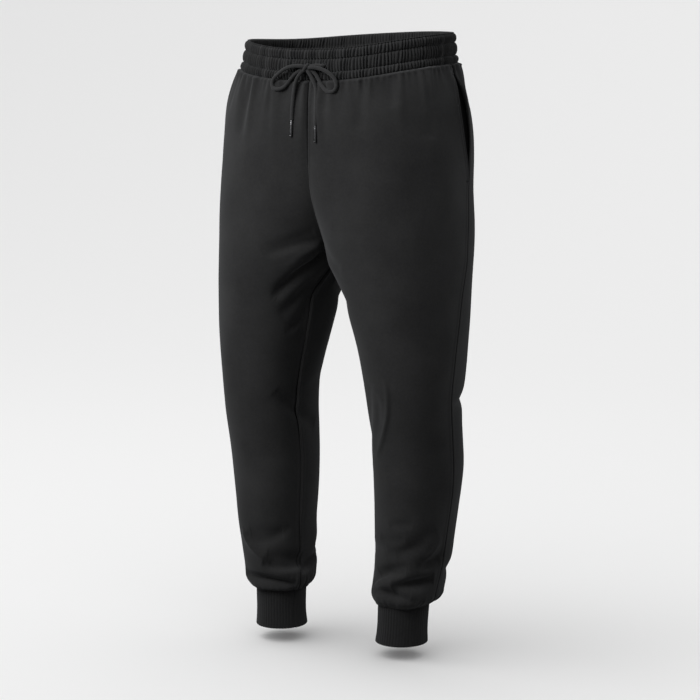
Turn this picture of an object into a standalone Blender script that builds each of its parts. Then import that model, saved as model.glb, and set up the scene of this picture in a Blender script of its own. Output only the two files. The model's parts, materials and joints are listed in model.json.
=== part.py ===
"""Jogger sweatpants, filled out as if worn.

Two fronts and two backs in fleece, an elastic waistband gathered in three rows, a
drawstring tied in a bow, side pockets and ribbed ankle cuffs. Metres, +Z up. The
origin is the middle of the waist opening, the wearer faces -Y and the wearer's left
is +X. Every cloth piece is a wall on one shared form, given by a level below the rim
and a turn round each half: 0 at the front centre or inseam, 0.5 at the outseam, 1 at
the back centre or inseam again.
"""
import math

import bmesh
import bpy
import numpy as np
from mathutils import Vector

MM = 0.001

# Driving sizes
CLOTH = 2 * MM                 # one layer of fleece
SEAM = 0.3 * MM                # space between pieces that are sewn together
CROTCH_LEVEL = -362 * MM
BLOUSE_LEVEL = -912 * MM       # where the leg starts to turn in over its cuff
TUCK_LENGTH = 34 * MM          # cloth in that turn
TUCK_DROP = 22 * MM
CUFF_TOP = -931 * MM
CUFF_WALL = 3 * MM             # rib knit folded double
CUFF_ROOM = 1.1 * MM           # between the cuff and the few-sided leg end round it
RIBS = 52                      # round each cuff
RIB_DEPTH = 0.9 * MM
WAIST_WALL = 4 * MM            # two layers of fleece round the elastic
GATHERS = 106                  # round the whole waistband
GATHER_HEIGHT = 0.7 * MM
BAND_TOP = 0.4 * MM            # how far the middle row puffs out
CORD = 6 * MM                  # the drawstring's diameter
EYELET_SPACING = 56 * MM
EYELET_LEVEL = -25.8 * MM
EYELET_RADIUS = 4.8 * MM
EYELET_RIM = 0.8 * MM          # half the stitched rim's width
EYELET_RISE = 0.5 * MM         # half its thickness
AGLET_LENGTH = 26 * MM
AGLET_RADIUS = 2.5 * MM

# How the waist sits: lower at the front, higher and less tilted at the sides
TILT = 0.137
ROLL = 0.006
SIDE_LIFT = 7.5 * MM
SIDE_TILT = 11.5 * MM
TWIST = 3.7 * MM
HALF_WAIST = 180 * MM
WAIST_DEPTH = 130 * MM
TILT_FADE = (-50 * MM, -360 * MM)
LIFT_FADE = (-50 * MM, -180 * MM)

# The left half's form in millimetres, a row for each level. side: the outseam. front and
# back: the furthest points forward and back. inner: the centre seams, which meet at the
# crotch, and the inseam below it.
# level, side_x, side_y, front_x, front_y, back_x, back_y, inner_x, inner_front, inner_back
SECTIONS = (
    (0, 177.5, 0, 40, -128, 50, 126, 0, -128, 126),
    (-50, 187, -10, 44, -133, 52, 128, 0, -131, 128),
    (-75, 197, -14, 50, -138, 56, 130, 0, -133, 131),
    (-100, 205.2, -17, 56, -142, 60, 133, 0, -132, 134),
    (-150, 213.5, -17, 66, -145, 68, 140, 0, -130, 138),
    (-200, 216, -17, 76, -147, 76, 143, 0, -126, 132),
    (-250, 216.5, -20, 86, -149, 84, 138, 0, -117, 115),
    (-300, 219.5, -21.5, 96, -149, 92, 128.5, 0, -98, 82),
    (-330, 221, -22, 103, -147.5, 98, 121, 0, -82, 40),
    (-350, 222, -22, 108, -145.6, 102, 115.5, 0, -67, -7),
    (-362, 222.4, -22, 111, -144, 105, 111.8, 0, -50, -50),
    (-385, 223, -22, 116, -141, 110, 104.5, 11, -39, -39),
    (-420, 223, -23, 121.5, -136.5, 117, 94.5, 25, -29, -29),
    (-460, 222, -24, 128, -132, 124, 85, 37, -25, -25),
    (-500, 220, -26, 133, -128, 130, 77, 48, -24, -24),
    (-540, 218, -27, 136.5, -124, 135, 69.5, 57, -26, -26),
    (-580, 215, -28, 139, -119.5, 138.5, 65, 64, -28, -28),
    (-620, 213, -25, 140, -113, 140, 63, 67, -24, -24),
    (-660, 211, -18, 140, -106, 140, 67, 69, -17, -17),
    (-700, 210, -14, 140, -99, 140, 69, 69, -13, -13),
    (-740, 207, -14, 138, -96, 138, 67, 69, -14, -14),
    (-780, 202, -16, 137, -94, 137, 63, 70, -16, -16),
    (-820, 197, -18, 135, -92, 135, 57, 72, -18, -18),
    (-860, 191, -18, 132, -89, 132, 54, 72, -18, -18),
    (-900, 184, -23, 127, -89, 127, 44, 69, -23, -23),
    (-912, 183, -26, 125, -89, 125, 40, 68, -26, -26),
)

# The cuffs, in millimetres
# level, centre_x, centre_y, half_width, half_depth
CUFF_SECTIONS = (
    (-931, 121, -29, 43.0, 44.5),
    (-968, 120, -31, 41.5, 43.0),
    (-1000, 118.5, -32, 44.5, 46.0),
)

# The waistband's outer profile, in millimetres: three puffed rows between stitched grooves
# level, lift, share of the gathers' height
BAND_PROFILE = (
    (0, -1.6, 0.5),
    (-6.5, 0.3, 1.0),
    (-13.3, -1.7, 0.4),
    (-25.8, 0.4, 1.0),
    (-38.3, -1.7, 0.4),
    (-43.5, 0.2, 1.0),
    (-48.5, -1.2, 0.6),
)

# Where the outseam runs
# level, turn
OUTSEAM = ((-48, 0.525), (-100, 0.545), (-260, 0.55), (-335, 0.53), (-420, 0.50), (-912, 0.49))
INSEAM_TURN = 0.055            # the inseam lies this far forward of the thigh's inner side
INSEAM_SETTLED = -430 * MM

# The pocket: its mouth is the front's free edge along the outseam, its bag hangs inside
MOUTH_TOP = -72 * MM
MOUTH_END = -232 * MM
MOUTH_GAPE = 9 * MM
MOUTH_LIP = 3.5 * MM           # how far the edge stands out
MOUTH_ENDS = 0.7               # under 1, it opens nearer to its ends
BAG_COLUMNS = 5                # of the front's columns, from the outseam forward
BAG_ROWS = 11                  # of the panel's rows, from the waist seam down

# Folds: soft troughs, and ridges where the depth is negative
# side, from turn, from level, to turn, to level, width, depth
FOLDS = (
    ("right", 0.02, -312, 0.18, -347, 12, 5),
    ("right", 0.02, -348, 0.17, -420, 13, 7),
    ("right", 0.06, -392, 0.15, -455, 11, 6),
    ("left", 0.03, -335, 0.16, -370, 14, 3),
    ("left", 0.03, -376, 0.14, -440, 14, 4),
    ("both", 0.97, -362, 0.80, -392, 18, 3.5),
    ("both", 0.97, -395, 0.84, -450, 15, 4),
    ("right", -0.12, -560, 0.14, -610, 12, 5),
    ("right", 0.62, -585, 0.90, -560, 13, 6),
    ("left", 0.48, -602, 0.72, -575, 12, 6),
    ("left", 0.76, -600, 0.97, -570, 13, 5),
    ("left", 0.24, -560, 0.16, -690, 11, -4),
    ("left", 0.19, -550, 0.10, -690, 12, 4),
    ("right", 0.33, -836, 0.20, -884, 11, -4),
    ("right", 0.28, -832, 0.13, -829, 11, 4),
    ("right", 0.21, -868, -0.10, -890, 11, 7),
    ("right", 0.36, -902, 0.10, -912, 9, 5),
    ("right", 0.50, -862, 0.72, -888, 12, 6),
    ("right", 0.70, -846, 0.93, -872, 12, 6),
    ("left", 0.22, -846, 0.42, -798, 12, 4),
    ("left", 0.16, -874, 0.32, -858, 10, 5),
    ("left", 0.35, -862, 0.49, -842, 10, 5),
    ("left", 0.26, -890, 0.45, -883, 9, 5),
    ("left", 0.14, -900, 0.35, -909, 9, 4),
    ("left", 0.52, -884, 0.74, -858, 12, 6),
    ("left", 0.72, -896, 0.98, -868, 12, 6),
    ("left", 0.175, -54, 0.180, -130, 11, 4),
    ("left", 0.275, -54, 0.285, -100, 11, 3),
    ("left", 0.40, -54, 0.385, -155, 12, 4),
    ("right", 0.225, -54, 0.240, -145, 11, 4),
    ("right", 0.33, -54, 0.34, -110, 11, 3),
    ("both", 0.64, -54, 0.655, -120, 12, 4),
    ("both", 0.78, -54, 0.775, -130, 12, 4),
    ("both", 0.90, -54, 0.90, -110, 12, 3),
)
FOLD_SAMPLES = 41
FOLD_ENDS = 0.6                # under 1, a fold keeps its depth nearer to its ends

# The drawstring's runs, on the wearer's left and right, in millimetres across the front,
# below the rim and out from the cloth. Each begins or ends in the knot.
# across, level, lift
KNOT_AT = (-1.5, -28, 8.2)
KNOT_SIZE = (24, 13, 18)       # across, out and down
KNOT_ROOM = 0.7 * MM           # to the strings' square ends
STRINGS = {
    "string_lead_left": (
        (28, -25.8, 2.6), (27.9, -25.8, 4.4), (26, -25.4, 5.8),
        (20, -24.8, 5.6), (14, -24.6, 5.6), (5, -26, 6.2),
    ),
    "string_lead_right": (
        (-28, -25.8, 2.8), (-27.9, -25.8, 4.6), (-26, -25.9, 6.2),
        (-20, -26, 6.2), (-15, -26, 6), (-6, -27, 6.3),
    ),
    "string_loop_left": (
        (0, -28.5, 10.5), (7.5, -27.6, 11.6), (16.7, -28, 12), (26, -29.8, 11.4),
        (35, -33.4, 10.2), (43.4, -38.5, 9.2), (50.5, -45.4, 7.8), (54.7, -53, 6.6),
        (55.3, -60.7, 5.4), (51.4, -66.4, 5), (44, -67.6, 5), (35.8, -64, 5), (29.5, -58.2, 5),
        (23.5, -50.5, 5), (18.5, -43, 5), (13.5, -36.5, 5), (5, -31, 6),
    ),
    "string_loop_right": (
        (-2, -28, 10), (-9, -25.6, 12.8), (-16, -25, 13.2), (-25.6, -26.2, 13),
        (-35.6, -29, 11.4), (-46, -34.6, 9.5), (-55, -41.5, 8.2), (-62, -48.5, 7),
        (-65.3, -55.5, 5.6), (-64, -62, 5), (-58.3, -64.9, 5), (-50, -64, 5), (-42.7, -60.6, 5),
        (-36.5, -54, 5), (-31, -46.8, 5), (-25, -40.2, 5), (-18, -34.8, 5.2), (-8, -30.5, 6.5),
    ),
    "string_tail_left": (
        (3, -32, 8.8), (7.5, -39, 9.6), (12.5, -47, 8.8), (16.8, -56, 7.2), (19.2, -66, 6),
        (20, -80, 5.3), (20.4, -100, 4.8), (20.2, -122.6, 4.6),
    ),
    "string_tail_right": (
        (-6, -31.5, 9), (-12, -37, 10.6), (-17.5, -45.5, 9.4), (-21.2, -55, 7.6),
        (-23.2, -66, 6.2), (-24.2, -78, 5.3), (-25.2, -95.4, 4.8), (-25.9, -113.2, 4.6),
    ),
}

# The grid: levels come evenly between these, which are close together at the crotch
# from, to, rows
LEVEL_RUNS = (
    (-48.8, -290, 11),
    (-290, -338, 3),
    (-338, -362, 2),
    (-362, -396, 2),
    (-396, -820, 17),
    (-820, -912, 7),
)
TUCK_ROWS = 3
COLUMNS = 10
CORNER = 2.2                   # 2 is an ellipse, more is squarer
CENTRE_CREASE = math.radians(58)        # how far round the torso's quarters go to the centre
FRONT_CLOSES = (290 * MM, 375 * MM)     # below the rim, where they round off into the legs
BACK_CLOSES = (240 * MM, 345 * MM)
OUTLINE_POINTS = 48            # along each quarter of a section
STEP = 0.4 * MM                # for slopes down and round
TURN_STEP = 0.002
TINY = 1e-6
STRING_STEP = 1.6              # diameters between a string's points
STRING_FINE = 400              # points along the smooth curve they are read from
FRONT_TURNS = np.linspace(0, 0.45, 300) # where a place on the front is looked for
STRING_RIM = 12                # points round a string's end, tested against the knot
AGLET_SIDES = 14
EYELET_SIDES = (18, 6)         # round the hole and round its rim
KNOT_SEGMENTS = (16, 8)
SHARP = math.radians(50)

SIDES = ("left", "right")


def smoothstep(value, low, high):
    """0 at low, 1 at high, smooth between them."""
    share = np.clip((value - low) / (high - low), 0, 1)
    return share * share * (3 - 2 * share)


def curve(rows, where):
    """A smooth curve through a table's rows, whose first column is the place."""
    table = np.array(rows, float)
    table = table[np.argsort(table[:, 0])]
    place_at, values = table[:, 0], table[:, 1:]
    where = np.clip(np.asarray(where, float), place_at[0], place_at[-1])
    i = np.clip(np.searchsorted(place_at, where, "right") - 1, 0, len(place_at) - 2)
    slope = np.gradient(values, place_at, axis=0)
    span = (place_at[i + 1] - place_at[i])[:, None]
    u = ((where - place_at[i]) / (place_at[i + 1] - place_at[i]))[:, None]
    return (
        (2 * u**3 - 3 * u**2 + 1) * values[i]
        + (u**3 - 2 * u**2 + u) * span * slope[i]
        + (3 * u**2 - 2 * u**3) * values[i + 1]
        + (u**3 - u**2) * span * slope[i + 1]
    )


def stations(levels):
    """Each level's nine section sizes and its height, turned in over the cuff at the end."""
    levels = np.asarray(levels, float)
    section = curve(SECTIONS, np.maximum(levels, BLOUSE_LEVEL) / MM) * MM
    x, y, wide, deep = curve(CUFF_SECTIONS, np.full(len(levels), CUFF_TOP / MM)).T * MM
    wide = wide + CUFF_ROOM
    deep = deep + CUFF_ROOM
    cuff = np.stack([x + wide, y, x, y - deep, x, y + deep, x - wide, y, y], 1)
    turn_in = np.clip((BLOUSE_LEVEL - levels) / TUCK_LENGTH, 0, 1) * math.pi / 2
    section = cuff + (section - cuff) * np.cos(turn_in)[:, None]
    return section, np.maximum(levels, BLOUSE_LEVEL) - TUCK_DROP * np.sin(turn_in)


def outlines(levels):
    """The left half's outline at each level, and its height: inner seam, front, side, back."""
    section, height = stations(levels)
    side_x, side_y, front_x, front_y, back_x, back_y, inner_x, inner_front, inner_back = (
        section[:, k : k + 1] for k in range(9)
    )
    below = -np.asarray(levels, float)[:, None]
    share = np.linspace(0, 1, OUTLINE_POINTS + 1)[None, :]

    def quarter(from_x, from_y, to_x, to_y, rounding=1.0):
        """From the furthest point forward or back, round to the side or the inner seam."""
        last = CENTRE_CREASE + (math.pi / 2 - CENTRE_CREASE) * rounding
        across = np.sin(share * last) ** (2 / CORNER) / np.sin(last) ** (2 / CORNER)
        deep = (1 - np.cos(share * last) ** (2 / CORNER)) / (1 - np.cos(last) ** (2 / CORNER))
        return from_x + (to_x - from_x) * across, from_y + (to_y - from_y) * deep

    front_round = smoothstep(below, *FRONT_CLOSES)
    back_round = smoothstep(below, *BACK_CLOSES)
    runs = (
        [line[:, ::-1] for line in quarter(front_x, front_y, inner_x, inner_front, front_round)],
        quarter(front_x, front_y, side_x, side_y),
        [line[:, ::-1] for line in quarter(back_x, back_y, side_x, side_y)],
        quarter(back_x, back_y, inner_x, inner_back, back_round),
    )
    x, y = (np.concatenate([runs[0][k]] + [run[k][:, 1:] for run in runs[1:]], 1) for k in (0, 1))
    return x, y, height


def base(turns, levels):
    """Points of the left half before folds. turns has a row for each level."""
    x, y, height = outlines(levels)
    half = 2 * OUTLINE_POINTS
    points = np.empty(turns.shape + (3,))
    for row, level in enumerate(levels):
        length = np.concatenate([[0], np.cumsum(np.hypot(np.diff(x[row]), np.diff(y[row])))])
        front, back = length[half], length[-1] - length[half]
        back_half = 0.5 + 0.5 * (length - front) / back
        turn_at = np.where(length <= front, 0.5 * length / front, back_half)
        if level < CROTCH_LEVEL + TINY:
            turn = turns[row] % 1.0
            flip = np.ones_like(turn)
        else:
            turn = np.where(turns[row] < 0, -turns[row], turns[row])
            turn = np.where(turn > 1, 2 - turn, turn)
            flip = np.where((turns[row] < 0) | (turns[row] > 1), -1.0, 1.0)
        points[row, :, 0] = np.interp(turn, turn_at, x[row]) * flip
        points[row, :, 1] = np.interp(turn, turn_at, y[row])
        points[row, :, 2] = height[row]
    return points


def half_lengths(levels):
    """The length of the front half and of the back half of each outline."""
    x, y, _ = outlines(levels)
    steps = np.hypot(np.diff(x, axis=1), np.diff(y, axis=1))
    half = 2 * OUTLINE_POINTS
    return steps[:, :half].sum(1), steps[:, half:].sum(1)


def normals(turns, levels):
    """Outward directions of the left half."""
    levels = np.asarray(levels, float)
    round_half = base(turns + TURN_STEP, levels) - base(turns - TURN_STEP, levels)
    down = base(turns, levels - STEP) - base(turns, levels + STEP)
    out = np.cross(down, round_half)
    return out / np.maximum(np.linalg.norm(out, axis=2, keepdims=True), 1e-12)


def folds(side, points):
    """How far the folds push each point of one half out."""
    height = np.zeros(points.shape[:-1])
    share = np.linspace(0, 1, FOLD_SAMPLES)
    depth_at = np.sin(np.pi * share) ** FOLD_ENDS
    for fold_side, from_turn, from_level, to_turn, to_level, width, depth in FOLDS:
        if fold_side not in (side, "both"):
            continue
        turns = from_turn + (to_turn - from_turn) * share
        levels = (from_level + (to_level - from_level) * share) * MM
        path = base(turns[:, None], levels)[:, 0]
        reach = np.linalg.norm(points[..., None, :] - path, axis=-1)
        nearest = reach.argmin(-1)
        slope = np.exp(-((reach.min(-1) / (width * MM)) ** 2))
        height -= depth * MM * depth_at[nearest] * slope
    return height


def hang(points):
    """Tilts and rolls the waist, lifts its sides and twists it a little."""
    x, y, z = np.moveaxis(points, -1, 0)
    tilt = 1 - smoothstep(-z, -TILT_FADE[0], -TILT_FADE[1])
    lift = 1 - smoothstep(-z, -LIFT_FADE[0], -LIFT_FADE[1])
    across, deep = x / HALF_WAIST, y / WAIST_DEPTH
    z = z + tilt * (TILT * y + ROLL * x)
    z = z + lift * (SIDE_LIFT * across**2 - SIDE_TILT * across**2 * deep + TWIST * across * deep)
    return np.stack([x, y, z], -1)


def place(side, turns, levels, lift=0.0):
    """Points of the garment, lifted from its outer surface, with a row for each level."""
    levels = np.asarray(levels, float)
    turns = np.asarray(turns, float)
    points = base(turns, levels)
    raised = lift + folds(side, points)
    points = points + normals(turns, levels) * raised[..., None]
    points[..., 0] = np.maximum(points[..., 0], SEAM / 2)
    if side == "right":
        points[..., 0] *= -1
    return hang(points)


def levels_of(runs):
    """Levels spaced evenly within each run."""
    levels = [np.linspace(top, end, rows + 1)[:-1] for top, end, rows in runs]
    return np.concatenate(levels + [[runs[-1][1]]]) * MM


def panel_levels():
    """Every row of a front or back, down to where its end is sewn to the cuff."""
    tuck = BLOUSE_LEVEL - TUCK_LENGTH * np.linspace(0, 1, TUCK_ROWS + 1)[1:]
    return np.concatenate([levels_of(LEVEL_RUNS), tuck])


def mouth(levels):
    """0 along the seam, 1 at the middle of the pocket's mouth."""
    share = np.clip((MOUTH_TOP - levels) / (MOUTH_TOP - MOUTH_END), 0, 1)
    return np.sin(np.pi * share) ** MOUTH_ENDS


def front_turns(levels):
    """Turns of a front's columns, from its centre seam and inseam to the outseam."""
    front, _ = half_lengths(levels)
    per_metre = 0.5 / front
    inseam = INSEAM_TURN * smoothstep(-levels, -CROTCH_LEVEL, -INSEAM_SETTLED)
    start = inseam + SEAM / 2 * per_metre
    end = curve(OUTSEAM, levels / MM)[:, 0] - (SEAM / 2 + MOUTH_GAPE * mouth(levels)) * per_metre
    return start[:, None] + (end - start)[:, None] * np.linspace(0, 1, COLUMNS + 1)


def back_turns(levels):
    """Turns of a back's columns, from the outseam to its centre seam and inseam."""
    _, back = half_lengths(levels)
    per_metre = 0.5 / back
    inseam = INSEAM_TURN * smoothstep(-levels, -CROTCH_LEVEL, -INSEAM_SETTLED)
    start = curve(OUTSEAM, levels / MM)[:, 0] + SEAM / 2 * per_metre
    end = 1 + inseam - SEAM / 2 * per_metre
    return start[:, None] + (end - start)[:, None] * np.linspace(0, 1, COLUMNS + 1)


def material(name, colour, roughness, metallic=0.0):
    """A plain Principled material."""
    made = bpy.data.materials.new(name)
    made.use_nodes = True
    shader = made.node_tree.nodes["Principled BSDF"]
    shader.inputs["Base Color"].default_value = (*colour, 1)
    shader.inputs["Roughness"].default_value = roughness
    shader.inputs["Metallic"].default_value = metallic
    made.diffuse_color = (*colour, 1)
    return made


def add(name, data, finish, parent):
    """Puts a mesh or curve in the scene under its node's name."""
    data.materials.append(finish)
    made = bpy.data.objects.new(name, data)
    made.parent = parent
    bpy.context.scene.collection.objects.link(made)
    return made


def wall(name, outer, inner, ring=False):
    """The closed wall between two grids of points, whose columns join up in a ring."""
    columns = outer.shape[1]
    vertices = np.concatenate([outer.reshape(-1, 3), inner.reshape(-1, 3)])
    inside = outer.shape[0] * columns
    faces = []

    def two(a, b, c, d):
        faces.append((a, b, c))
        faces.append((a, c, d))

    for column in range(columns if ring else columns - 1):
        beside = (column + 1) % columns
        for row in range(outer.shape[0] - 1):
            top = row * columns
            two(top + column, top + columns + column, top + columns + beside, top + beside)
        for row in range(inner.shape[0] - 1):
            top = inside + row * columns
            two(top + column, top + beside, top + columns + beside, top + columns + column)
        two(column, beside, inside + beside, inside + column)
        last, last_inside = inside - columns, len(vertices) - columns
        two(last + beside, last + column, last_inside + column, last_inside + beside)
    if not ring:
        for row in range(outer.shape[0] - 1):
            start = row * columns
            two(start + columns, start, inside + start, inside + start + columns)
            end = start + columns - 1
            two(end, end + columns, inside + end + columns, inside + end)
    mesh = bpy.data.meshes.new(name)
    mesh.from_pydata(vertices.tolist(), [], faces)
    if signed_volume(mesh) < 0:
        mesh.flip_normals()
    mesh.shade_smooth()
    mesh.set_sharp_from_angle(angle=SHARP)
    return mesh


def signed_volume(mesh):
    """Above 0 where a closed mesh's faces point out."""
    corners = np.array([[mesh.vertices[i].co[:] for i in face.vertices] for face in mesh.polygons])
    return float(np.einsum("ij,ij->", corners[:, 0], np.cross(corners[:, 1], corners[:, 2])))


def front_panel(side):
    """A front: its free edge along the pocket's mouth stands out a little."""
    levels = panel_levels()
    turns = front_turns(levels)
    lip = np.zeros(turns.shape)
    lip[:, -1] = MOUTH_LIP * mouth(levels)
    name = "front_" + side
    return wall(name, place(side, turns, levels, lip), place(side, turns, levels, lip - CLOTH))


def back_panel(side):
    """A back."""
    levels = panel_levels()
    turns = back_turns(levels)
    return wall("back_" + side, place(side, turns, levels), place(side, turns, levels, -CLOTH))


def pocket_bag(side):
    """The bag's layer against the body, on the panels' own grid, under both edges of the mouth."""
    levels = panel_levels()[: BAG_ROWS + 1]
    under_back = back_turns(levels)[:, :2]
    turns = np.concatenate([front_turns(levels)[:, -BAG_COLUMNS - 1 :], under_back], 1)
    top = -CLOTH - SEAM
    name = "pocket_" + side
    return wall(name, place(side, turns, levels, top), place(side, turns, levels, top - CLOTH))


def waistband():
    """One ring, gathered in three puffed rows, plain inside."""
    level, lift, gathered = np.array(BAND_PROFILE).T
    share = (np.arange(GATHERS) + 0.5) / GATHERS
    wave = GATHER_HEIGHT * np.where(np.arange(2 * GATHERS) % 2 == 0, 1.0, -1.0)
    raised = lift[:, None] * MM + gathered[:, None] * wave

    def ring(levels, raised):
        turns = np.tile(share, (len(levels), 1))
        left = place("left", turns, levels, raised[:, :GATHERS])
        right = place("right", turns, levels, raised[:, : GATHERS - 1 : -1])
        return np.concatenate([left, right[:, ::-1]], 1)

    plain = np.full((2, 2 * GATHERS), -WAIST_WALL)
    return wall("waistband", ring(level * MM, raised), ring(level[[0, -1]] * MM, plain), ring=True)


def cuff(side):
    """A ribbed tube, plain inside."""
    sections = np.array(CUFF_SECTIONS) * MM
    angle = np.linspace(0, 2 * math.pi, 2 * RIBS, endpoint=False)
    valley = RIB_DEPTH * (np.arange(2 * RIBS) % 2)

    def ring(inset):
        x = sections[:, 1:2] + (sections[:, 3:4] - inset) * np.cos(angle)
        y = sections[:, 2:3] + (sections[:, 4:5] - inset) * np.sin(angle)
        z = np.repeat(sections[:, 0:1], len(angle), 1)
        return np.stack([-x if side == "right" else x, y, z], -1)

    return wall("cuff_" + side, ring(valley), ring(CUFF_WALL), ring=True)


def on_front(across, level, lift):
    """A point on the front of the body, and the direction out of it there."""
    side = "left" if across >= 0 else "right"
    levels = np.array([level])
    reach = place(side, FRONT_TURNS[None, :], levels)[0]
    turns = np.array([[np.interp(abs(across), np.abs(reach[:, 0]), FRONT_TURNS)]])
    here = place(side, turns, levels)[0, 0]
    out = place(side, turns, levels, CORD)[0, 0] - here
    out = out / np.linalg.norm(out)
    return here + out * lift, out


def route(places):
    """A smooth curve through a run's places, and the length along it."""
    points = np.array([on_front(*(size * MM for size in row))[0] for row in places])
    length = np.concatenate([[0], np.cumsum(np.linalg.norm(np.diff(points, axis=0), axis=1))])
    knots = np.column_stack([length, points])
    fine = curve(knots, np.linspace(0, length[-1], STRING_FINE))
    length = np.concatenate([[0], np.cumsum(np.linalg.norm(np.diff(fine, axis=0), axis=1))])
    return fine, length


def clear_of_knot(points, knot):
    """True where a string of full thickness, cut square, is clear of the knot."""
    along = np.gradient(points, axis=0)
    along /= np.linalg.norm(along, axis=1, keepdims=True)
    first = np.cross(along, (0, 0.6, 0.8))
    first /= np.linalg.norm(first, axis=1, keepdims=True)
    second = np.cross(along, first)
    angle = np.linspace(0, 2 * math.pi, STRING_RIM, endpoint=False)[:, None, None]
    rim = points + CORD / 2 * (np.cos(angle) * first + np.sin(angle) * second)
    reach = np.array(KNOT_SIZE) * MM / 2 + KNOT_ROOM
    return ((((rim - knot) / reach) ** 2).sum(-1) > 1).all(0)


def string(name, knot):
    """A tube along one of the drawstring's runs, outside the knot."""
    fine, length = route(STRINGS[name])
    clear = np.flatnonzero(clear_of_knot(fine, knot))
    fine, length = fine[clear], length[clear] - length[clear[0]]
    count = max(3, round(length[-1] / (CORD * STRING_STEP)))
    along = np.linspace(0, length[-1], count + 1)
    points = np.column_stack([np.interp(along, length, fine[:, axis]) for axis in range(3)])
    tube = bpy.data.curves.new(name, "CURVE")
    tube.dimensions = "3D"
    tube.bevel_depth = CORD / 2
    tube.bevel_resolution = 2
    tube.use_fill_caps = True
    spline = tube.splines.new("POLY")
    spline.points.add(len(points) - 1)
    for target, point in zip(spline.points, points):
        target.co = (*point, 1)
    return tube, points


def turned(name, profile, segments):
    """A closed mesh turned about Z from a profile of radius and height, top end first."""
    angle = np.linspace(0, 2 * math.pi, segments, endpoint=False)
    middle = profile[1:-1]
    vertices = [(0, 0, profile[0][1]), (0, 0, profile[-1][1])]
    for radius, height in middle:
        vertices += [(radius * math.cos(a), radius * math.sin(a), height) for a in angle]
    faces = []
    for k in range(segments):
        beside = (k + 1) % segments
        faces.append((0, 2 + k, 2 + beside))
        last = 2 + (len(middle) - 1) * segments
        faces.append((1, last + beside, last + k))
        for row in range(len(middle) - 1):
            a, b = 2 + row * segments + k, 2 + row * segments + beside
            faces.append((a, a + segments, b + segments, b))
    mesh = bpy.data.meshes.new(name)
    mesh.from_pydata(vertices, [], faces)
    mesh.shade_smooth()
    mesh.set_sharp_from_angle(angle=SHARP)
    return mesh


def aglet(side):
    """A crimped metal end, turned: its mouth is where the string goes in."""
    shoulder, nose = 0.6 * MM, 1.2 * MM
    profile = (
        (0, 0),
        (AGLET_RADIUS - shoulder, 0),
        (AGLET_RADIUS, -shoulder),
        (AGLET_RADIUS, -AGLET_LENGTH + nose),
        (AGLET_RADIUS - nose, -AGLET_LENGTH),
        (0, -AGLET_LENGTH),
    )
    return turned("aglet_" + side, profile, AGLET_SIDES)


def eyelet(side):
    """The raised, stitched rim of the hole that the drawstring comes out of."""
    mesh = bpy.data.meshes.new("eyelet_" + side)
    around, across = EYELET_SIDES
    turn = np.linspace(0, 2 * math.pi, around, endpoint=False)
    wire = np.linspace(0, 2 * math.pi, across, endpoint=False)
    vertices = [
        (
            (EYELET_RADIUS + EYELET_RIM * math.cos(w)) * math.cos(t),
            (EYELET_RADIUS + EYELET_RIM * math.cos(w)) * math.sin(t),
            EYELET_RISE * math.sin(w),
        )
        for t in turn
        for w in wire
    ]
    faces = []
    for i in range(around):
        for j in range(across):
            a, b = i * across + j, (i + 1) % around * across + j
            c, d = (i + 1) % around * across + (j + 1) % across, i * across + (j + 1) % across
            faces.append((a, b, c, d))
    mesh.from_pydata(vertices, [], faces)
    mesh.shade_smooth()
    return mesh


def knot_mesh():
    """The bow's knot, a rounded lump."""
    mesh = bpy.data.meshes.new("bow_knot")
    shape = bmesh.new()
    round_it, down = KNOT_SEGMENTS
    bmesh.ops.create_uvsphere(shape, u_segments=round_it, v_segments=down, radius=0.5)
    bmesh.ops.scale(shape, vec=np.array(KNOT_SIZE) * MM, verts=shape.verts)
    shape.to_mesh(mesh)
    shape.free()
    mesh.shade_smooth()
    return mesh


def main():
    for old in list(bpy.context.scene.objects):
        bpy.data.objects.remove(old, do_unlink=True)
    fleece = material("fleece", (0.030, 0.031, 0.033), 0.95)
    lining = material("pocket_jersey", (0.022, 0.023, 0.025), 0.95)
    rib = material("rib_knit", (0.034, 0.035, 0.037), 0.92)
    cord = material("cord", (0.040, 0.041, 0.044), 0.85)
    thread = material("thread", (0.026, 0.027, 0.029), 0.7)
    metal = material("gunmetal", (0.30, 0.30, 0.31), 0.28, 1.0)
    whole = bpy.data.objects.new("sweatpants", None)
    bpy.context.scene.collection.objects.link(whole)

    add("waistband", waistband(), fleece, whole)
    knot_at, _ = on_front(*(size * MM for size in KNOT_AT))
    add("bow_knot", knot_mesh(), cord, whole).location = knot_at
    for side in SIDES:
        add("front_" + side, front_panel(side), fleece, whole)
        add("back_" + side, back_panel(side), fleece, whole)
        add("pocket_" + side, pocket_bag(side), lining, whole)
        add("cuff_" + side, cuff(side), rib, whole)

        across = EYELET_SPACING / 2 * (1 if side == "left" else -1)
        lift = GATHER_HEIGHT + BAND_TOP + SEAM + EYELET_RISE
        at, out = on_front(across, EYELET_LEVEL, lift)
        rim = add("eyelet_" + side, eyelet(side), thread, whole)
        rim.location = at
        rim.rotation_mode = "QUATERNION"
        rim.rotation_quaternion = Vector(out).to_track_quat("Z", "Y")

        for run in ("lead", "loop", "tail"):
            name = f"string_{run}_{side}"
            tube, points = string(name, np.array(knot_at))
            add(name, tube, cord, whole)
        along = Vector(points[-1] - points[-2]).normalized()
        end = add("aglet_" + side, aglet(side), metal, whole)
        end.location = Vector(points[-1]) + along * SEAM
        end.rotation_mode = "QUATERNION"
        end.rotation_quaternion = along.to_track_quat("-Z", "Y")


main()
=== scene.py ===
"""Looks of the jogger sweatpants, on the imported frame.

The form is the CAD's: a level below the rim and a turn round each half. Every cloth piece
is a closed thin wall on it, with finer folds, gathers, seams and stitches.
"""
import math

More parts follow.
